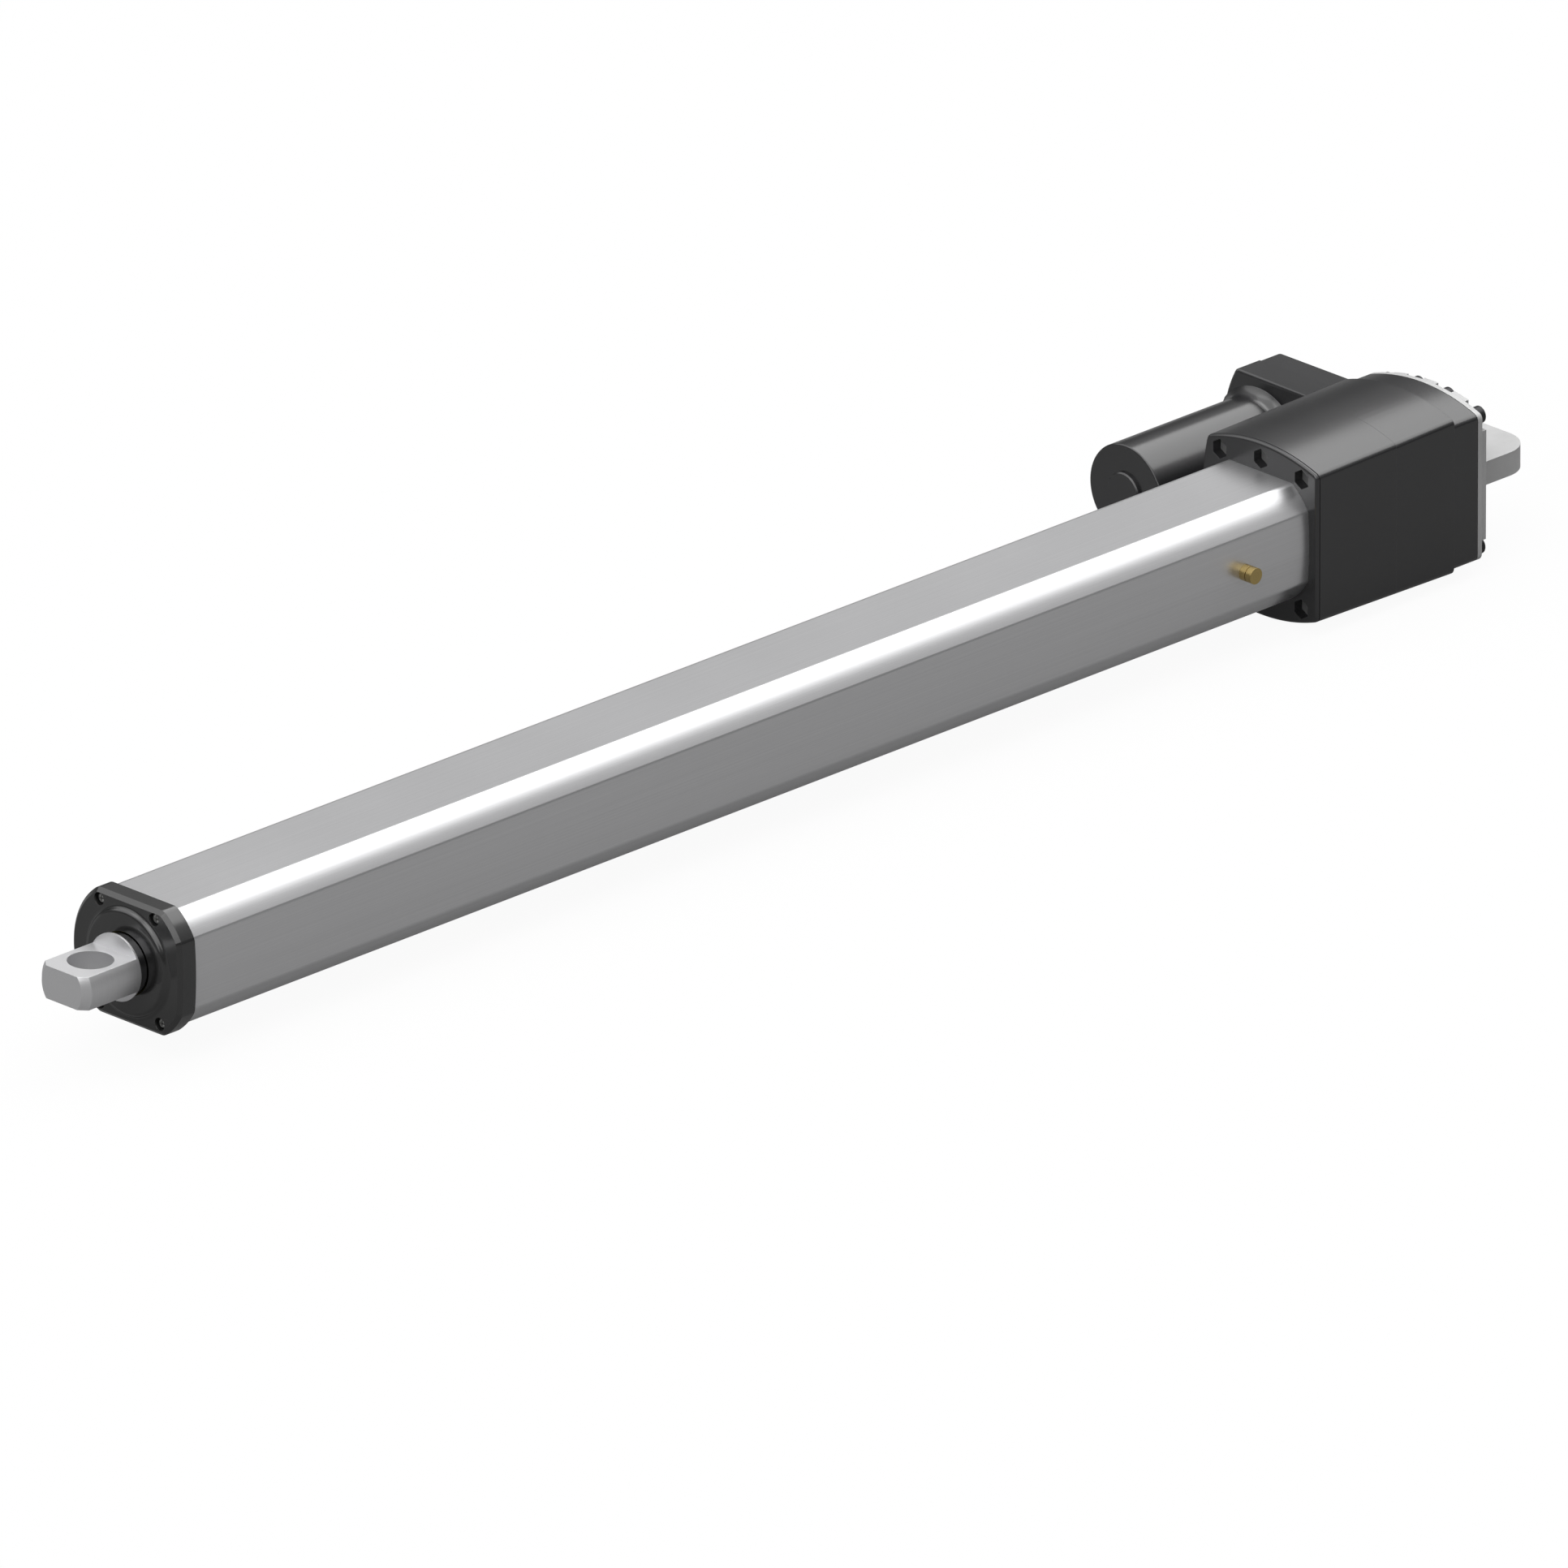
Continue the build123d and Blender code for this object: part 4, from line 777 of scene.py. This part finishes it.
class ACTUATOR_OT_drive(Operator):
    """Finish the screw, the gears and the bearings."""

    bl_idname = "actuator.drive"
    bl_label = "Screw, gears and bearings"

    def thread(self, mesh, start, end, radius, detail):
        """A trapezoidal thread from start to end along X, closed at both ends."""
        lead, root = detail.thread_lead, radius - detail.thread_depth
        form = [(0.0, root), (0.34, root), (0.48, radius), (0.86, radius)]
        steps = THREAD_STEPS
        turns = int((end - start) / lead) + 3
        rows = []
        for step in range(turns * steps + 1):
            turn, base = tau * step / steps, start + lead * (step / steps - 1.5)
            rows.append([mesh.verts.new((base + part * lead, reach * cos(turn), reach * sin(turn)))
                         for part, reach in form])
        for step in range(len(rows) - 1):
            for low, high in ((0, 1), (1, 2), (2, 3)):
                mesh.faces.new((rows[step][low], rows[step + 1][low], rows[step + 1][high], rows[step][high]))
            if step + 1 + steps < len(rows):
                mesh.faces.new((rows[step][3], rows[step + 1][3], rows[step + 1 + steps][0], rows[step + steps][0]))
        for place, way in ((start, -1), (end, 1)):
            everything = mesh.verts[:] + mesh.edges[:] + mesh.faces[:]
            bmesh.ops.bisect_plane(mesh, geom=everything, dist=0.0001 * MM, plane_co=(place, 0, 0),
                                   plane_no=(way, 0, 0), clear_outer=True)
        for place in (start, end):
            rim = [edge for edge in mesh.edges if edge.is_boundary
                   and all(abs(vert.co.x - place) < TOUCH for vert in edge.verts)]
            bmesh.ops.holes_fill(mesh, edges=rim)

    def lead_screw(self, detail, steel):
        """The lead screw with its thread, journal, collar and tip."""
        low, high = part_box("lead_screw")
        seam_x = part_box("flange_housing")[0].x
        thread_start, thread_end = seam_x + detail.collar_width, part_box("screw_tip_bush")[0].x
        collar = high.y
        mesh = bmesh.new()
        self.thread(mesh, thread_start, thread_end, detail.thread_radius, detail)
        journal, tip = detail.journal_radius, detail.tip_radius
        lathe(mesh, [(0, journal - EDGE_BREAK), (EDGE_BREAK, journal), (seam_x - low.x, journal),
                     (seam_x - low.x, collar), (thread_start - low.x, collar)], SHAFT_STEPS, (low.x, 0, 0))
        reach = high.x - thread_end
        lathe(mesh, [(0, tip), (reach - EDGE_BREAK, tip), (reach, tip - EDGE_BREAK)], SHAFT_STEPS,
              (thread_end, 0, 0))
        screw = piece_from(mesh, "lead_screw_threaded", "screw", steel, ["lead_screw"])
        smooth_by_angle(screw)

    def execute(self, context):
        finishes, detail, _ = settings()
        steel = turned_metal("gear_steel", finishes.gear_steel, 0.34)
        dress(["screw_gear", "idler_gear", "idler_pinion", "motor_pinion"], steel)
        self.lead_screw(detail, steel)
        bright = turned_metal("ground_steel", finishes.rod_end_steel, 0.20)
        dress(["bearing_outer_rings", "bearing_inner_rings", "bearing_spacer", "gear_lock_nut",
               "idler_shaft", "motor_shaft"], bright)
        dress(["idler_bushes", "motor_bushes"], turned_metal("bronze_bushes", finishes.bronze, 0.42))
        dress(["sensor_magnet", "motor_magnets"], moulded("sintered_magnet", finishes.magnet_grey, 0.5,
                                                          metallic=0.4))
        dress(["sensor_circuit"], printed_board("sensor_board", finishes.board_green))
        return {"FINISHED"}


class ACTUATOR_OT_motor(Operator):
    """Finish what is inside the motor."""

    bl_idname = "actuator.motor"
    bl_label = "Motor"

    def execute(self, context):
        finishes = settings()[0]
        motor_line = (sum(corner.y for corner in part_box("motor_cover")) / 2, 0.0)
        pressed = moulded("pressed_steel", finishes.gear_steel, 0.36, metallic=0.9)
        dress(["motor_can", "motor_end_plate", "armature_core"], pressed)
        dress(["motor_brush_cap"], moulded("brush_cap_plastic", finishes.plastic_black, 0.4))
        dress(["armature_windings"], wound_copper("wound_copper", finishes.copper, motor_line))
        dress(["commutator"], turned_metal("turned_copper", finishes.copper, 0.25, about=motor_line))
        dress(["motor_brushes"], moulded("pressed_carbon", finishes.carbon, 0.55))
        return {"FINISHED"}


class ACTUATOR_OT_gland(Operator):
    """Finish the cable gland and make its dome nut with grip ribs."""

    bl_idname = "actuator.gland"
    bl_label = "Cable gland"

    def dome_nut(self, detail, plastic):
        """The ribbed dome nut round the gland's neck and insert."""
        low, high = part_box("gland_nut")
        middle = ((low.x + high.x) / 2, high.y, (low.z + high.z) / 2)
        outer, height = (high.x - low.x) / 2, high.y - low.y
        insert, neck = detail.gland_insert_radius, detail.gland_neck
        neck_radius = insert + 1 * MM
        profile = [(0, outer), (0.05 * height, outer), (0.10 * height, outer, True), (0.74 * height, outer, True),
                   (0.80 * height, outer), (0.92 * height, outer - 0.6 * MM), (height, outer - 1.6 * MM),
                   (height, insert), (neck, insert), (neck, neck_radius), (0, neck_radius)]
        mesh = bmesh.new()
        lathe(mesh, profile, 8 * detail.gland_ribs, middle, along=(0, -1, 0), ends="hollow",
              ribs=detail.gland_ribs, rib_depth=detail.rib_depth)
        nut = piece_from(mesh, "gland_nut_ribbed", "housing", plastic, ["gland_nut"])
        smooth_by_angle(nut)

    def execute(self, context):
        finishes, detail, _ = settings()
        plastic = moulded("gland_plastic", finishes.plastic_black, 0.42)
        dress(["gland_body"], plastic)
        self.dome_nut(detail, plastic)
        return {"FINISHED"}


class ACTUATOR_PT_sidebar(Panel):
    """The steps that dress the actuator, with the values they use."""

    bl_label = "Actuator"
    bl_idname = "ACTUATOR_PT_sidebar"
    bl_space_type = "VIEW_3D"
    bl_region_type = "UI"
    bl_category = "Actuator"

    def draw(self, context):
        for step in STEPS:
            self.layout.operator(step.bl_idname)
        for group in settings():
            box = self.layout.box()
            for name in group.__annotations__:
                box.prop(group, name)


GROUPS = {
    "actuator_finishes": ActuatorFinishes,
    "actuator_detail": ActuatorDetail,
    "actuator_studio": ActuatorStudio,
}
STEPS = (
    ACTUATOR_OT_stage,
    ACTUATOR_OT_castings,
    ACTUATOR_OT_rear_plate,
    ACTUATOR_OT_tube,
    ACTUATOR_OT_front_cap,
    ACTUATOR_OT_rod,
    ACTUATOR_OT_nipple,
    ACTUATOR_OT_drive,
    ACTUATOR_OT_motor,
    ACTUATOR_OT_gland,
)


def register():
    """Register the classes and hang the values on the scene."""
    for made in (*GROUPS.values(), *STEPS, ACTUATOR_PT_sidebar):
        bpy.utils.register_class(made)
    for name, group in GROUPS.items():
        setattr(bpy.types.Scene, name, PointerProperty(type=group))


def unregister():
    """Take the values and the classes away again."""
    for name in GROUPS:
        delattr(bpy.types.Scene, name)
    for made in reversed((*GROUPS.values(), *STEPS, ACTUATOR_PT_sidebar)):
        bpy.utils.unregister_class(made)


def main():
    """Dress the whole actuator."""
    register()
    for step in STEPS:
        family, verb = step.bl_idname.split(".")
        getattr(getattr(bpy.ops, family), verb)()


if __name__ == "__main__":
    main()
